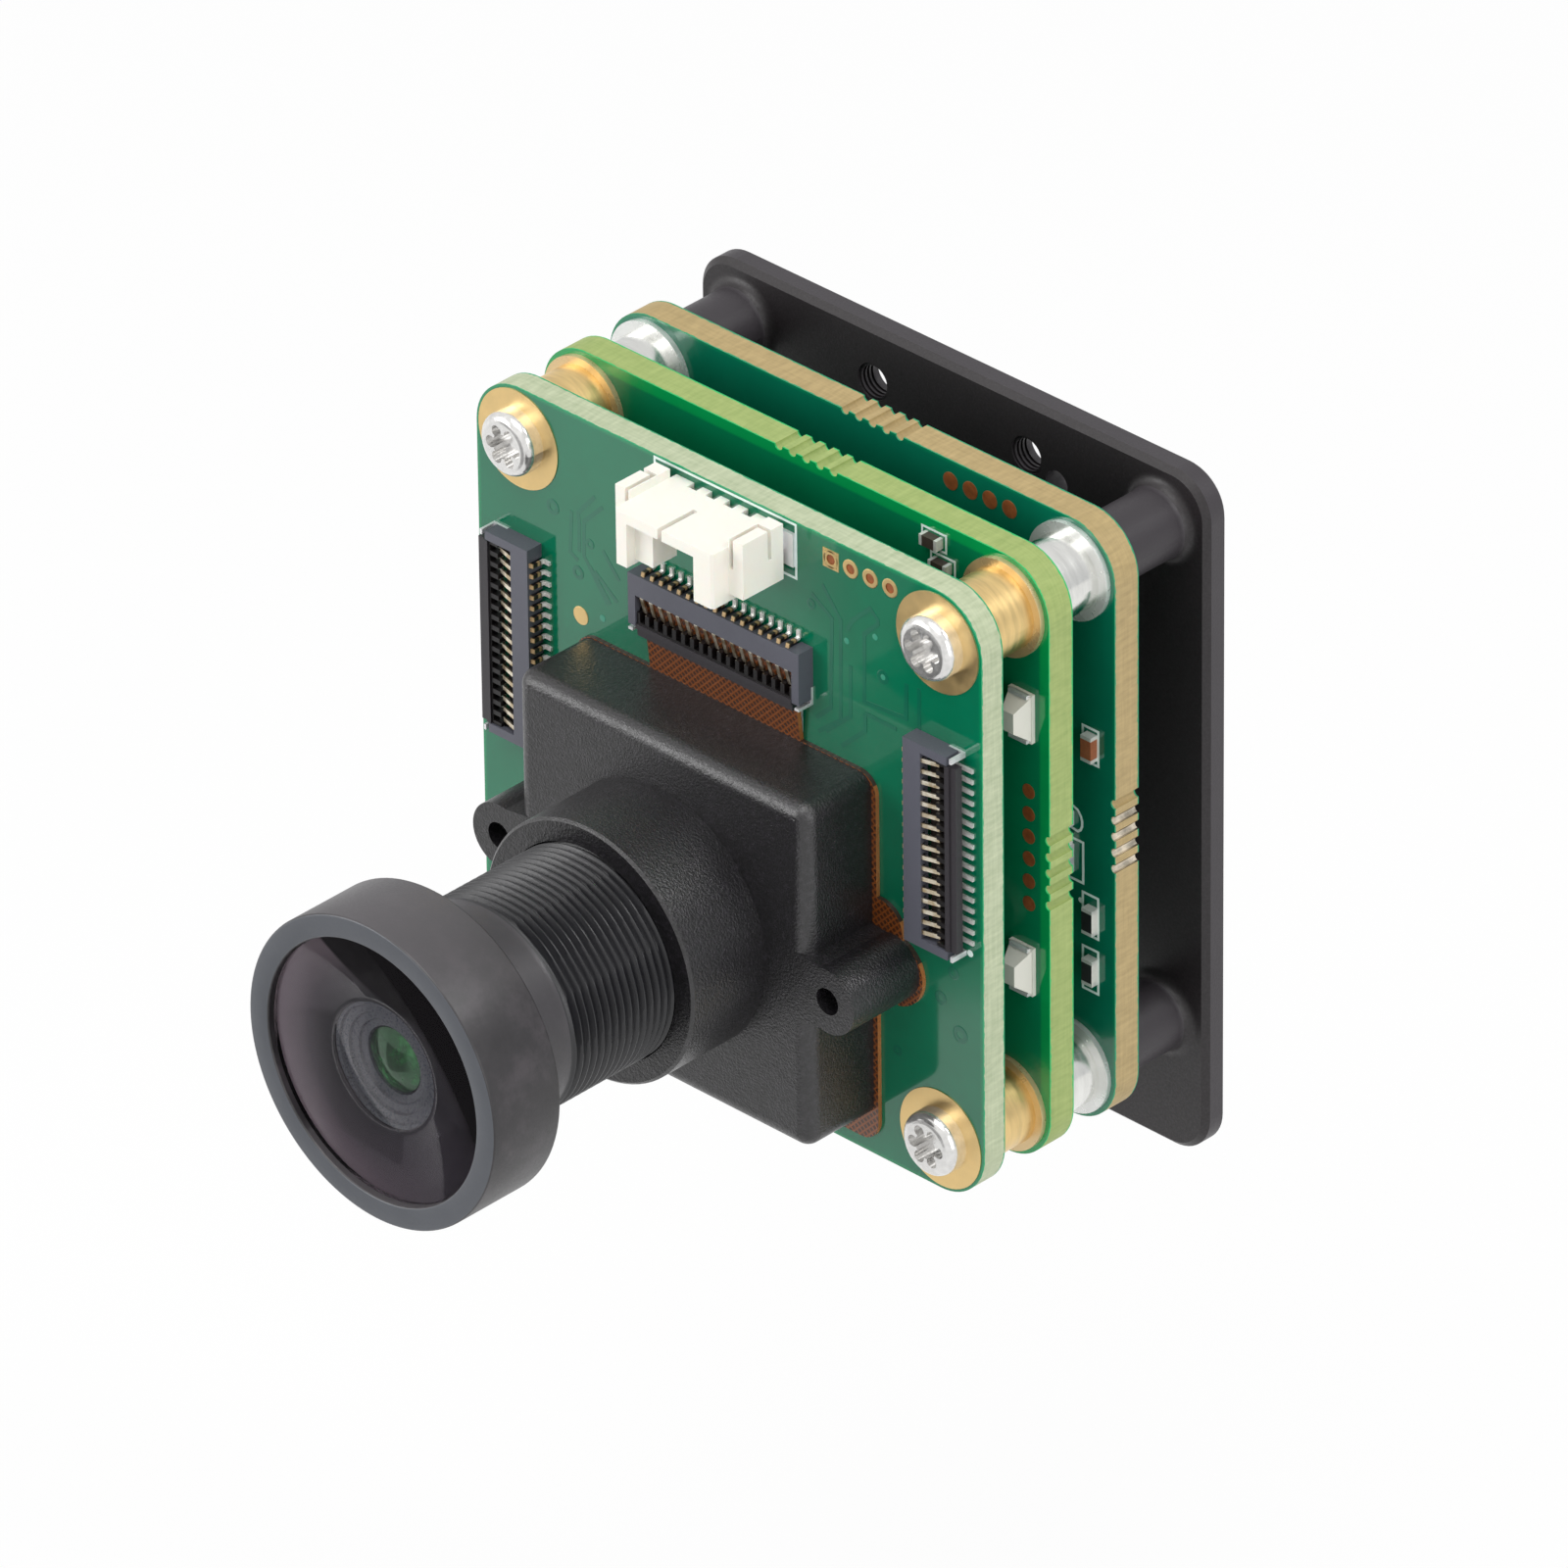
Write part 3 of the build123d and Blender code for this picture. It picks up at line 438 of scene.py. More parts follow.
finish = {
    "base_plate": plate_black, "back_board": back_mask, "middle_board": middle_mask,
    "front_board": front_mask, "rear_spacers": tinned, "rear_solder_rings": ring_tin,
    "front_spacers": brass, "front_solder_rings": ring_brass, "ground_pads": gold,
    "corner_screws": chrome, "processor_chip": chip_black, "rear_stack_socket": connector_black,
    "rear_stack_plug": connector_black, "front_stack_socket": connector_black,
    "front_stack_plug": connector_black, "status_leds": led_white, "middle_chip_bodies": chip_brown,
    "middle_chip_ends": chip_tin, "back_chip_bodies": chip_resistor, "back_chip_ends": chip_tin,
    "sensor_flex": flex_film, "image_sensor": chip_black, "sensor_glass": glass_clear,
    "lens_holder": holder_black, "holder_screws": chrome, "lens_barrel": barrel_black,
    "front_element": front_glass, "inner_ring": ring_grey, "second_element": second_glass,
    "rear_element": glass_clear, "wire_connector_pins": solder, "wire_connector_tabs": tab_tin,
    "wire_connector_housing": nylon,
}
for place in ("top", "left", "right"):
    finish[place + "_cable_contacts"] = contact_plating
    finish[place + "_cable_nails"] = tab_tin
    finish[place + "_cable_housing"] = connector_black
# Each latch's comb, which painted shade makes nearly black: where it begins, as axis, direction and limit
# in millimetres.
COMBS = ("top", 2, -1.0, -7.9), ("left", 0, -1.0, 15.95), ("right", 0, 1.0, 15.95)
for place, axis, sign, limit in COMBS:
    finish[place + "_cable_latch"] = latch_material(place + "_latch_plastic", axis, sign, limit)
for name, material in finish.items():
    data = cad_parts[name].data
    data.materials.clear()
    data.materials.append(material)


# Broken edges on the moulded parts
def soften(name, width, segments=2):
    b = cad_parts[name].modifiers.new("edge", "BEVEL")
    b.width = width * MM
    b.segments = segments
    b.limit_method = "ANGLE"
    b.angle_limit = math.radians(40)
    b.use_clamp_overlap = True


soften("wire_connector_housing", 0.07)
for place in ("top", "left", "right"):
    soften(place + "_cable_housing", 0.03, 1)
    soften(place + "_cable_latch", 0.04, 1)


# Pieces, their points in millimetres
def piece(name, verts, faces, material, slot, body="stack", smooth=False):
    mesh = bpy.data.meshes.new(name)
    mesh.from_pydata([Vector(v) * MM for v in verts], [], faces)
    mesh.validate()
    mesh.materials.append(material)
    if smooth:
        mesh.polygons.foreach_set("use_smooth", [True] * len(mesh.polygons))
    obj = bpy.data.objects.new(name, mesh)
    bpy.context.scene.collection.objects.link(obj)
    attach(obj, body)
    return obj


def ribbon(points, width, level, height, closed=False):
    """Flat strip with mitred corners on a face that looks along -Y, as vertices and faces."""
    pts = [Vector(p) for p in points]
    n = len(pts)
    left, right = [], []
    for i, p in enumerate(pts):
        before = pts[i - 1] if i or closed else None
        after = pts[(i + 1) % n] if i < n - 1 or closed else None
        a = (p - before).normalized() if before is not None else None
        b = (after - p).normalized() if after is not None else None
        d = ((a or b) + (b or a)).normalized()
        side = Vector((-d.y, d.x))
        ref = a or b
        k = width / 2 / max(0.3, side.dot(Vector((-ref.y, ref.x))))
        left.append(p + side * k)
        right.append(p - side * k)
    verts, faces = [], []
    for i in range(n):
        for q in (left[i], right[i]):
            verts.append((q.x, level, q.y))
            verts.append((q.x, level - height, q.y))
    for i in range(n if closed else n - 1):
        a, b = 4 * i, 4 * ((i + 1) % n)
        faces += [(a + 1, b + 1, b + 3, a + 3), (a, b, b + 1, a + 1), (a + 3, b + 3, b + 2, a + 2)]
    if not closed:
        e = 4 * (n - 1)
        faces += [(0, 1, 3, 2), (e, e + 2, e + 3, e + 1)]
    return verts, faces


def ring(x, z, outer, inner, level, height, sides=40):
    """Flat ring, or a disc where inner is 0, with a slight crown."""
    verts, faces = [], []
    radii = [(outer, 0), (outer, height * 0.7), (outer - min(0.04, (outer - inner) / 4), height)]
    if inner:
        radii += [(inner, height), (inner, 0)]
    else:
        radii += [(outer * 0.5, height * 1.1)]
    for r, h in radii:
        for i in range(sides):
            a = 2 * math.pi * i / sides
            verts.append((x + r * math.cos(a), level - h, z + r * math.sin(a)))
    for k in range(len(radii) - 1):
        for i in range(sides):
            j = (i + 1) % sides
            faces.append((k * sides + i, k * sides + j, (k + 1) * sides + j, (k + 1) * sides + i))
    if not inner:
        verts.append((x, level - height * 1.1, z))
        last = (len(radii) - 1) * sides
        for i in range(sides):
            faces.append((last + i, last + (i + 1) % sides, len(verts) - 1))
    return verts, faces


def box(x0, x1, y0, y1, z0, z1):
    verts = [(x, y, z) for x in (x0, x1) for y in (y0, y1) for z in (z0, z1)]
    return verts, [(0, 1, 3, 2), (4, 6, 7, 5), (0, 4, 5, 1), (2, 3, 7, 6), (0, 2, 6, 4), (1, 5, 7, 3)]


def merged(parts):
    verts, faces = [], []
    for v, f in parts:
        base = len(verts)
        verts += v
        faces += [tuple(i + base for i in face) for face in f]
    return verts, faces


def group(name, parts, material, slot):
    return piece(name, *merged(parts), material, slot)


def outline(x0, x1, z0, z1):
    return [(x0, z0), (x1, z0), (x1, z1), (x0, z1)]


# Lens barrel with its thread and hood, and the glass group in its seat, in millimetres
HOOD_FRONT, HOOD_BACK, HOOD_RADIUS, HOOD_EDGE = -43.4, -38.7, 8.6, 0.13
THREAD_END, CREST, THREAD_PITCH, THREAD_DEPTH = -21.4, 6.0, 0.5, 0.3
RELIEF = 5.92
SEAT, SEAT_RADIUS, THROAT, SECOND = -41.0, 7.3, 4.6, 3.3
SECOND_LEVEL, STOP_LEVEL, STOP, REAR_LEVEL, REAR_RADIUS = -37.5, -32.0, 1.7, -26.5, 4.0
DISH_CURVE, DISH_BASE, HOLLOW = 32.0, -41.6, 3.6
GLASS_RIM, GLASS_BULGE = -42.98, 0.27
DOME_RADIUS, DOME_RIM, DOME_RISE = 1.85, -41.0, 0.5
IRIS_RING = -41.6


def lathed(name, profile, sides, material, slot, angle=38, radius_at=None):
    """Surface of revolution on the lens axis from (radius, y) points, in millimetres."""
    verts, faces = [], []
    for r, y in profile:
        for s in range(sides):
            a = 2 * math.pi * s / sides
            q = radius_at(r, y, s / sides) if radius_at else r
            verts.append((q * math.cos(a), y, LENS_Z + q * math.sin(a)))
    for k in range(len(profile) - 1):
        for s in range(sides):
            t = (s + 1) % sides
            faces.append((k * sides + s, (k + 1) * sides + s, (k + 1) * sides + t, k * sides + t))
    for k, (r, y) in ((0, profile[0]), (len(profile) - 1, profile[-1])):
        if r < 0.02:
            verts.append((0, y, LENS_Z))
            tip = len(verts) - 1
            for s in range(sides):
                t = (s + 1) % sides
                edge = (k * sides + s, k * sides + t)
                faces.append((*edge, tip) if k == 0 else (*edge[::-1], tip))
    obj = piece(name, verts, faces, material, slot, "lens", True)
    obj.data.set_sharp_from_angle(angle=math.radians(angle))
    return obj


def arc(cx, cy, r, a0, a1, n):
    """Points of an arc of n steps between two angles in degrees."""
    steps = [math.radians(a0 + (a1 - a0) * i / n) for i in range(n + 1)]
    return [(cx + r * math.cos(a), cy + r * math.sin(a)) for a in steps]


def thread_radius(r, y, turn):
    """Radius on the helical thread, which rises out of the plain band behind the hood."""
    if r != CREST:
        return r
    phase = ((y - THREAD_START) / THREAD_PITCH + turn) % 1.0
    rise = 1 - abs(phase - 0.5) * 2
    crest = CREST - THREAD_DEPTH + THREAD_DEPTH * min(1.0, max(0.0, rise * 1.35 - 0.1))
    return RELIEF + (crest - RELIEF) * min(1.0, (y - THREAD_START) / 0.35)


def dish(r):
    """Depth of the front element's hollow back at a radius."""
    return DISH_BASE - r * r / (2 * DISH_CURVE)


outer = [(THROAT, SEAT + 0.01), (SEAT_RADIUS + 0.01, SEAT + 0.01),
         (SEAT_RADIUS + 0.01, HOOD_FRONT + 0.12)]
outer += arc(SEAT_RADIUS + 0.13, HOOD_FRONT + 0.12, 0.12, 180, 270, 3)
outer += arc(HOOD_RADIUS - HOOD_EDGE, HOOD_FRONT + HOOD_EDGE, HOOD_EDGE, 270, 360, 4)
outer += arc(HOOD_RADIUS - HOOD_EDGE, HOOD_BACK - HOOD_EDGE, HOOD_EDGE, 0, 90, 4)
outer += [(RELIEF + 0.15, HOOD_BACK), (RELIEF, HOOD_BACK + 0.15), (RELIEF, THREAD_START - 0.3)]
turns = int((THREAD_END - THREAD_START - 0.3) / THREAD_PITCH)
outer += [(CREST, THREAD_START + (i + 1) * THREAD_PITCH / 8) for i in range(turns * 8)]
outer += [(RELIEF, THREAD_END), (REAR_RADIUS, THREAD_END)]
barrel = lathed("threaded_barrel", outer, 128, barrel_black, "barrel_black", radius_at=thread_radius)
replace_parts(barrel, "lens_barrel")
bore = [(THROAT, SEAT + 0.01), (THROAT + 0.01, SECOND_LEVEL + 0.02), (SECOND, SECOND_LEVEL + 0.02),
        (SECOND - 0.02, STOP_LEVEL), (STOP, STOP_LEVEL), (STOP, STOP_LEVEL + 0.4),
        (SECOND, STOP_LEVEL + 0.4), (SECOND, REAR_LEVEL), (REAR_RADIUS, REAR_LEVEL),
        (REAR_RADIUS, THREAD_END)]
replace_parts(lathed("barrel_bore", bore[::-1], 64, inner_black, "barrel_black"), "lens_barrel")

# Front element: a shallow dome in front, a dished back with its painted reflections, a hollow over the iris
# ring
span = [i / 24 for i in range(25)]
rim_in = SEAT_RADIUS - 0.02
glass = [(max(0.01, rim_in * t), GLASS_RIM - GLASS_BULGE * (1 - t * t)) for t in span]
glass += [(rim_in, dish(rim_in) - 0.03)]
glass += [(rim_in + (HOLLOW - rim_in) * t, dish(rim_in + (HOLLOW - rim_in) * t) - 0.03) for t in span]
glass += [(max(0.01, HOLLOW * (1 - t)), dish(HOLLOW) - 0.03 - 0.3 * (1 - (1 - t) ** 2)) for t in span[1:]]
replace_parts(lathed("front_dome", glass, 96, front_glass, "lens_glass", 30), "front_element")
hollow_in = HOLLOW - 0.12
back = [(rim_in + (hollow_in - rim_in) * t, dish(rim_in + (hollow_in - rim_in) * t)) for t in span]
back.append((hollow_in, SEAT))
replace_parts(lathed("front_dish", back, 96, dish_coat_and_reflection, "barrel_black"), "front_element")
steps = [(HOLLOW - 0.14, -0.15), (3.3, -0.12), (3.25, 0.0), (2.85, 0.04), (2.8, 0.2), (2.4, 0.26),
         (2.34, 0.4), (1.95, 0.5), (1.84, 0.9)]
steps = [(r, IRIS_RING + y) for r, y in steps]
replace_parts(lathed("iris_ring", steps, 96, ring_grey, "barrel_black", 20), "inner_ring")
dome = [(max(0.01, DOME_RADIUS * t), DOME_RIM - DOME_RISE * (1 - t * t)) for t in span]
dome += [(DOME_RADIUS, SECOND_LEVEL), (0.01, SECOND_LEVEL)]
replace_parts(lathed("coated_dome", dome, 64, second_glass, "lens_glass", 40), "second_element")

# Silkscreen, traces under the mask and vias on the front board
INK, LINE = 0.015, 0.14
front_lines = [
    ribbon(outline(-4.93, 4.87, 14.31, 17.4), LINE, FRONT_FACE, INK, True),
    ribbon([(5.14, 7.29), (5.14, 4.97)], LINE, FRONT_FACE, INK),
    ring(16.68, -2.7, 0.2, 0, FRONT_FACE, INK, 20),
]
group("front_silkscreen", front_lines, silk, "connector_white")
TRACES = [
    [(-8.67, 12.92), (-10.01, 11.57), (-10.06, 9.54), (-8.44, 7.31)],
    [(-9.21, 13.33), (-10.42, 11.92), (-10.36, 11.25), (-10.40, 9.63)],
    [(-10.90, 11.84), (-11.03, 9.37), (-10.48, 9.07)],
    [(-9.65, 9.07), (-8.23, 7.40)],
    [(-9.31, 8.92), (-7.74, 7.72)],
    [(-8.72, 10.37), (-7.58, 9.05)],
    [(6.66, 14.72), (7.92, 13.13), (7.85, 7.27), (6.28, 5.98)],
    [(5.90, 13.89), (7.31, 12.99), (7.18, 7.73), (6.15, 6.73)],
    [(8.39, 12.75), (8.73, 13.46), (9.96, 14.65), (10.49, 14.19), (10.49, 13.96), (9.54, 13.00),
        (9.50, 9.04), (12.33, 9.25), (12.41, 11.28)],
    [(8.57, 10.77), (8.53, 7.78), (6.82, 6.21)],
    [(9.56, 8.38), (11.71, 8.36)],
    [(12.41, 11.28), (12.39, 9.16)],
    [(13.29, 11.36), (13.27, 9.01)],
    [(7.90, 5.80), (9.54, 7.34), (9.55, 8.32)],
]
VIAS = [(-12.23, 11.53, 0.45), (-9.62, 10.40, 0.30), (-10.50, 8.37, 0.40), (5.89, 13.26, 0.30),
        (10.80, 11.01, 0.40), (15.52, -4.36, 0.38), (14.63, -6.20, 0.40), (15.97, -7.82, 0.50),
        (11.60, -10.65, 0.30)]
DOTS = [(-8.81, 6.35, 0.20), (8.31, 12.09, 0.18), (10.28, 13.13, 0.18), (10.80, 11.01, 0.16)]
traces = [ribbon(t, 0.24, FRONT_FACE, 0.006 + 0.001 * i) for i, t in enumerate(TRACES)]
group("front_traces", traces, trace_mask, "board_green")
vias = [ring(x, z, r, r * 0.45, FRONT_FACE, 0.012, 28) for x, z, r in VIAS]
group("front_via_rings", vias, trace_mask, "board_green")
dots = [ring(x, z, r, 0, FRONT_FACE, 0.014, 16) for x, z, r in DOTS]
group("front_via_dots", dots, pale_mask, "board_green")

# Silkscreen on the middle and back boards
frames = [(8.93, 10.57, 15.95, 16.95), (9.53, 11.17, 14.7, 15.7)]
middle_lines = [ribbon(outline(*f), 0.12, MIDDLE_FRONT, INK, True) for f in frames]
group("middle_silkscreen", middle_lines, silk, "connector_white")
frames = [(15.36, 16.42, 3.8, 5.82), (15.34, 16.4, -6.44, -4.04), (15.34, 16.4, -9.71, -7.21),
          (14.38, 15.37, -3.53, -1.13)]
bow = [(14.3, 0.8), (14.7, 0.78), (15.0, 0.66), (15.2, 0.4), (15.3, 0.1), (15.3, -0.2),
       (15.2, -0.45), (15.0, -0.6), (14.3, -0.5)]
back_lines = [ribbon(outline(*f), LINE, BACK_FRONT, INK, True) for f in frames]
back_lines += [ring(15.2, -4.6, 0.16, 0, BACK_FRONT, INK, 16), ribbon(bow, LINE, BACK_FRONT, INK)]
group("back_silkscreen", back_lines, silk, "connector_white")

# Bright terminals of the back board's chips that the middle board half hides
ends = [box(13.9, 14.75, BACK_FRONT - 0.35, BACK_FRONT, z0, z1)
        for z0, z1 in ((-3.1, -1.45), (-0.35, 0.5))]
group("back_chip_terminals", ends, tab_tin, "solder")

# Fiducial, header holes and the middle board's vias: where the rows are and their pitch
FRONT_HOLES, BACK_HOLES, MIDDLE_VIAS = (7.285, 16.4), (6.325, 16.35), (16.15, 1.1)
HEADER, HEADER_PITCH, VIA_ROW, VIA_PITCH = 4, 1.35, 6, 1.32
PAD = 0.03
group("front_fiducial", [ring(-10.35, 5.89, 0.52, 0, FRONT_FACE, PAD)], gold, "gold_plate")
x, z = FRONT_HOLES
row = [x + HEADER_PITCH * i for i in range(HEADER)]
rings = [ring(q, z, 0.52, 0.28, FRONT_FACE, PAD, 32) for q in row]
rings.append(ribbon(outline(x - 0.47, x + 0.47, z - 0.47, z + 0.47), LINE, FRONT_FACE, PAD, True))
group("front_header_rings", rings, gold, "gold_plate")
plugs = [ring(q, z, 0.37, 0, FRONT_FACE + 0.07, 0.05, 24) for q in row]
group("front_header_plugs", plugs, plug_brown, "gold_plate")
x, z = BACK_HOLES
discs = [ring(x + HEADER_PITCH * i, z, 0.5, 0, BACK_FRONT, PAD, 32) for i in range(HEADER)]
group("back_header_discs", discs, plug_brown, "gold_plate")
x, z = MIDDLE_VIAS
row = [z + VIA_PITCH * (i - (VIA_ROW - 1) / 2) for i in range(VIA_ROW)]
rings = [ring(x, q, 0.42, 0, MIDDLE_FRONT, 0.02, 24) for q in row]
group("middle_via_rings", rings, plug_brown, "gold_plate")

# Tinned linings in four notches of the back board's edge
NOTCHES, NOTCH_START, NOTCH_PITCH, NOTCH_STEPS = 4, -1.8, 0.95, 8
LINING_OUT, LINING_IN = 0.27, 0.24
linings = []
for i in range(NOTCHES):
    z = NOTCH_START + NOTCH_PITCH * i
    verts, faces = [], []
    for k in range(NOTCH_STEPS + 1):
        a = math.pi / 2 + math.pi * k / NOTCH_STEPS
        for r in (LINING_OUT, LINING_IN):
            for y in (BACK_FRONT + 0.02, BACK_REAR - 0.02):
                verts.append((EDGE + r * math.cos(a), y, z + r * math.sin(a)))
    for k in range(NOTCH_STEPS):
        a, b = 4 * k, 4 * (k + 1)
        faces += [(a + 2, a + 3, b + 3, b + 2), (a, a + 2, b + 2, b), (a + 1, b + 1, b + 3, a + 3)]
    linings.append((verts, faces))
group("back_notch_linings", linings, notch_tin, "solder")

# Threads in the two tapped holes of the base plate
TAPPED_X, TAPPED_Z, TAPPED_TURNS, TAPPED_PITCH = 5.35, 14.6, 4, 0.28
hole_rings = [ring(x, TAPPED_Z, 1.05, 0.9, PLATE_FRONT + 0.2 + TAPPED_PITCH * i, 0.12, 28)
              for x in (-TAPPED_X, TAPPED_X) for i in range(TAPPED_TURNS)]
group("plate_hole_threads", hole_rings, plate_black, "black_anodised")

# Spring contacts of the three flat cable connectors, each seat along its row, outward and off the board
CONTACTS, CONTACT_PITCH, CONTACT_WIDTH = 17, 0.63, 0.22
SEAT_TOP, SEAT_SIDE, SEAT_ROW = 10.75, 13.1, 3.05
SEATS = {
    "top": lambda u, v, w: (-u, FRONT_FACE - w, SEAT_TOP - v),
    "left": lambda u, v, w: (-SEAT_SIDE - v, FRONT_FACE - w, SEAT_ROW + u),
    "right": lambda u, v, w: (SEAT_SIDE + v, FRONT_FACE - w, SEAT_ROW - u),
}


def strip(seat, u, path, width, thick):
    """Bent strip of sheet metal along a path of (v, w) points, its underside on the path."""
    pts = [Vector(p) for p in path]
    verts, faces = [], []
    for i, p in enumerate(pts):
        a = (p - pts[i - 1]).normalized() if i else None
        b = (pts[i + 1] - p).normalized() if i < len(pts) - 1 else None
        d = ((a or b) + (b or a)).normalized()
        side = Vector((-d.y, d.x)) * thick / max(0.5, d.dot(a or b))
        for q in (p, p + side):
            for s in (-width / 2, width / 2):
                verts.append(seat(u + s, q.x, q.y))
    for i in range(len(pts) - 1):
        a, b = 4 * i, 4 * (i + 1)
        faces += [(a, a + 1, b + 1, b), (a + 2, b + 2, b + 3, a + 3), (a, b, b + 2, a + 2),
                  (a + 1, a + 3, b + 3, b + 1)]
    e = 4 * (len(pts) - 1)
    faces += [(0, 2, 3, 1), (e, e + 1, e + 3, e + 2)]
    return verts, faces


FOOT = [(-0.66, 0.0), (-0.24, 0.0), (-0.14, 0.08), (-0.1, 0.76), (0.05, 0.8)]
BEAM = [(1.1, 0.9), (1.28, 0.9), (2.16, 0.66), (2.24, 0.5)]
TAIL = [(0.9, 0.0), (3.9, 0.0)]
# Path and width of the painted shade sheet under the beams
BAR_SHADE, BAR_SHADE_WIDTH = [(1.2, 0.17), (2.25, 0.17)], 10.9
for place, seat in SEATS.items():
    feet, beams = [], []
    for i in range(CONTACTS):
        u = CONTACT_PITCH * (i - (CONTACTS - 1) / 2)
        feet += [strip(seat, u, FOOT, CONTACT_WIDTH, 0.13), strip(seat, u, TAIL, CONTACT_WIDTH, 0.13)]
        beams.append(strip(seat, u, BEAM, 0.24, 0.1))
    node = place + "_cable_contacts"
    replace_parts(group(place + "_contact_feet", feet, contact_plating, "gold_plate"), node)
    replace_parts(group(place + "_contact_beams", beams, beam_gold, "gold_plate"), node)
    # A dark brown sheet under the beams of each connector, as painted shade between its bars.
    bar_shade = strip(seat, 0, BAR_SHADE, BAR_SHADE_WIDTH, 0.1)
    group(place + "_contact_bar_shade", [bar_shade], bar_shade_brown, "connector_black")

# Plated ends of the two lamps of the middle board
LED_X, LED_LEVELS, LED_HALF = 15.8, (8.83, -6.05), 1.3
led_ends = []
for z in (level + side * LED_HALF for level in LED_LEVELS for side in (-1, 1)):
    led_ends.append(box(LED_X - 0.62, LED_X + 0.62, MIDDLE_FRONT - 0.45, MIDDLE_FRONT - 0.2,
                        z - 0.1, z + 0.1))
group("led_end_plates", led_ends, tab_tin, "solder")

# Floor: its own glow, and the limits in metres of the region whose mirror image is dark
FLOOR_GLOW, DARK, PALE = 0.93, 0.24, 0.7
ACROSS_LIMITS, BACK_LIMITS, NEAR_LIMITS = (-0.079, -0.069), (-0.02, 0.01), (-0.028, -0.019)


def stage_material():
    """White floor whose mirror image is darker in one region, as the photo's right side shows."""
    m = bpy.data.materials.new("white_floor")
    m.use_nodes = True
    t = m.node_tree
    t.nodes.clear()

    def both(op, a, b, **props):
        return add_node(t, "ShaderNodeMath", {0: a, 1: b}, operation=op, **props).outputs[0]

    def smooth(value, limits, start, end):
        inputs = {0: value, 1: limits[0], 2: limits[1], 3: start, 4: end}
        return add_node(t, "ShaderNodeMapRange", inputs, interpolation_type="SMOOTHSTEP").outputs[0]

    ray = add_node(t, "ShaderNodeLightPath").outputs
    place = add_node(t, "ShaderNodeTexCoord").outputs["Object"]
    place = add_node(t, "ShaderNodeSeparateXYZ", {0: place}).outputs
    across = smooth(both("SUBTRACT", place[0], place[1]), ACROSS_LIMITS, 1.0, DARK)
    back = smooth(place[0], BACK_LIMITS, 0.0, PALE)
    near = smooth(both("ADD", place[0], place[1]), NEAR_LIMITS, 0.0, PALE)
    level = both("ADD", across, both("MAXIMUM", back, near), use_clamp=True)
    level = both("MAXIMUM", level, ray["Is Camera Ray"])
    seen = both("MAXIMUM", ray["Is Camera Ray"], ray["Is Glossy Ray"])
    seen = both("MAXIMUM", seen, ray["Is Transmission Ray"])
    diffuse = add_node(t, "ShaderNodeBsdfDiffuse", {0: (0.9, 0.9, 0.9, 1)}).outputs[0]
    glow = add_node(t, "ShaderNodeEmission", {0: (1, 1, 1, 1), 1: level}).outputs[0]
    share = both("MULTIPLY", seen, FLOOR_GLOW)
    mix = add_node(t, "ShaderNodeMixShader", {0: share, 1: diffuse, 2: glow}).outputs[0]
    add_node(t, "ShaderNodeOutputMaterial", {0: mix})
    return m


bpy.ops.mesh.primitive_plane_add(size=1.6, location=(0, -0.1, -0.06))
floor = bpy.context.object
floor.name = "floor"
floor.data.materials.append(stage_material())

# Backdrop's strength on matt faces, its bright side, and its colours from dark to bright
SKY_LIGHT, SKY_BRIGHT = 0.54, (-0.2, -0.75, 0.6)
SKY_COLORS = (0.62, 0.63, 0.65, 1), (1.0, 0.99, 0.98, 1)


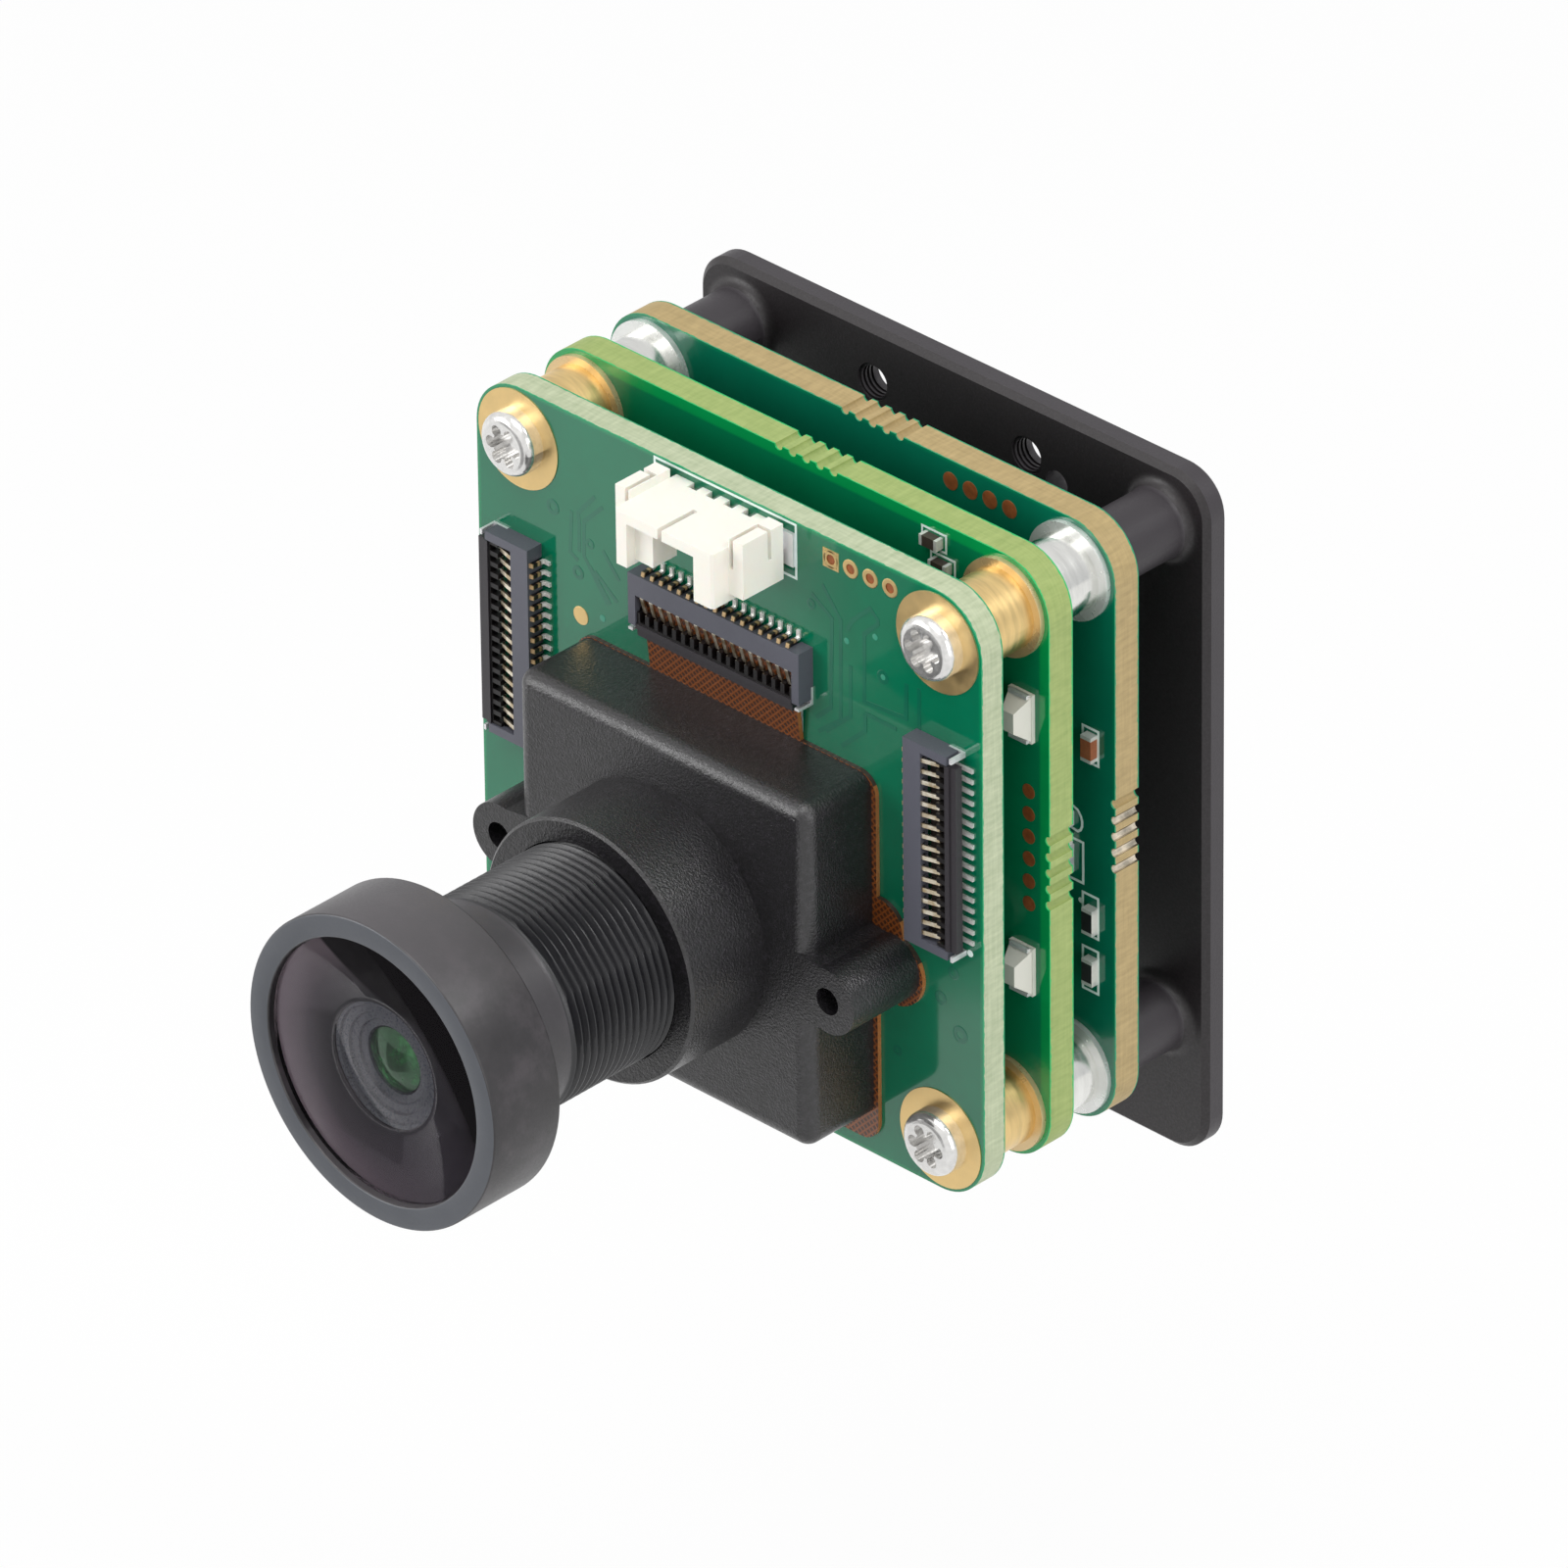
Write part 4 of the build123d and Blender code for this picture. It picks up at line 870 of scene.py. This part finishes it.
def backdrop():
    """Pale gradient that is weaker on matt faces and plain white to the camera."""
    world = bpy.data.worlds.new("studio")
    bpy.context.scene.world = world
    world.use_nodes = True
    t = world.node_tree
    t.nodes.clear()
    place = add_node(t, "ShaderNodeTexCoord").outputs["Generated"]
    inputs = {0: place, 1: Vector(SKY_BRIGHT).normalized()}
    dot = add_node(t, "ShaderNodeVectorMath", inputs, operation="DOT_PRODUCT").outputs["Value"]
    inputs = {0: dot, 1: 0.5, 2: 0.5}
    half = add_node(t, "ShaderNodeMath", inputs, operation="MULTIPLY_ADD").outputs[0]
    ramp = add_node(t, "ShaderNodeValToRGB", {0: half})
    for element, color in zip(ramp.color_ramp.elements, SKY_COLORS):
        element.color = color
    sky = ramp.outputs[0]
    matt = add_node(t, "ShaderNodeBackground", {0: sky, 1: SKY_LIGHT}).outputs[0]
    bright = add_node(t, "ShaderNodeBackground", {0: sky}).outputs[0]
    white = add_node(t, "ShaderNodeBackground", {0: (1, 1, 1, 1)}).outputs[0]
    ray = add_node(t, "ShaderNodeLightPath").outputs
    inputs = {0: ray["Is Glossy Ray"], 1: ray["Is Transmission Ray"]}
    shiny = add_node(t, "ShaderNodeMath", inputs, operation="MAXIMUM").outputs[0]
    light = add_node(t, "ShaderNodeMixShader", {0: shiny, 1: matt, 2: bright}).outputs[0]
    inputs = {0: ray["Is Camera Ray"], 1: light, 2: white}
    mix = add_node(t, "ShaderNodeMixShader", inputs).outputs[0]
    add_node(t, "ShaderNodeOutputWorld", {0: mix})


backdrop()

# Soft boxes, which all look at one point of the object
AIM = (0, -0.02, 0)


def area(name, place, size, power):
    light = bpy.data.lights.new(name, "AREA")
    light.shape = "RECTANGLE"
    light.size, light.size_y = size
    light.energy = power
    obj = bpy.data.objects.new(name, light)
    obj.location = place
    obj.rotation_euler = (Vector(AIM) - Vector(place)).to_track_quat("-Z", "Y").to_euler()
    obj.visible_transmission = False
    bpy.context.scene.collection.objects.link(obj)


area("overhead_softbox", (0.05, -0.16, 0.42), (0.3, 0.3), 0.9)
area("front_left_softbox", (-0.35, -0.42, 0.16), (0.3, 0.3), 1.3)
area("rear_right_softbox", (0.27, 0.11, 0.34), (0.12, 0.12), 0.4)
area("right_softbox", (0.45, -0.1, 0.1), (0.25, 0.3), 0.5)

# Camera fitted to the photo, in degrees and millimetres
AZIMUTH, ELEVATION, ROLL = 44.273, 31.665, -0.685
DISTANCE, SHIFT_RIGHT, SHIFT_UP = 915.05, 2.744, 0.195
SENSOR, FOCAL = 36, 416.88


def camera():
    az, el, roll = math.radians(AZIMUTH), math.radians(ELEVATION), math.radians(ROLL)
    back = Vector((math.sin(az) * math.cos(el), -math.cos(az) * math.cos(el), math.sin(el)))
    right = Vector((math.cos(az), math.sin(az), 0))
    up = back.cross(right)
    c, s = math.cos(roll), math.sin(roll)
    right, up = c * right + s * up, -s * right + c * up
    place = DISTANCE * back + SHIFT_RIGHT * right + SHIFT_UP * up + Vector((0, FRONT_FACE, 0))
    data = bpy.data.cameras.new("camera")
    data.sensor_width = SENSOR
    data.lens = FOCAL
    data.clip_start, data.clip_end = 0.05, 10
    cam = bpy.data.objects.new("camera", data)
    rows = [(right[i], up[i], back[i], place[i] * MM) for i in range(3)]
    cam.matrix_world = Matrix((*rows, (0, 0, 0, 1)))
    bpy.context.scene.collection.objects.link(cam)
    bpy.context.scene.camera = cam


camera()
bpy.context.scene.view_settings.view_transform = "Standard"
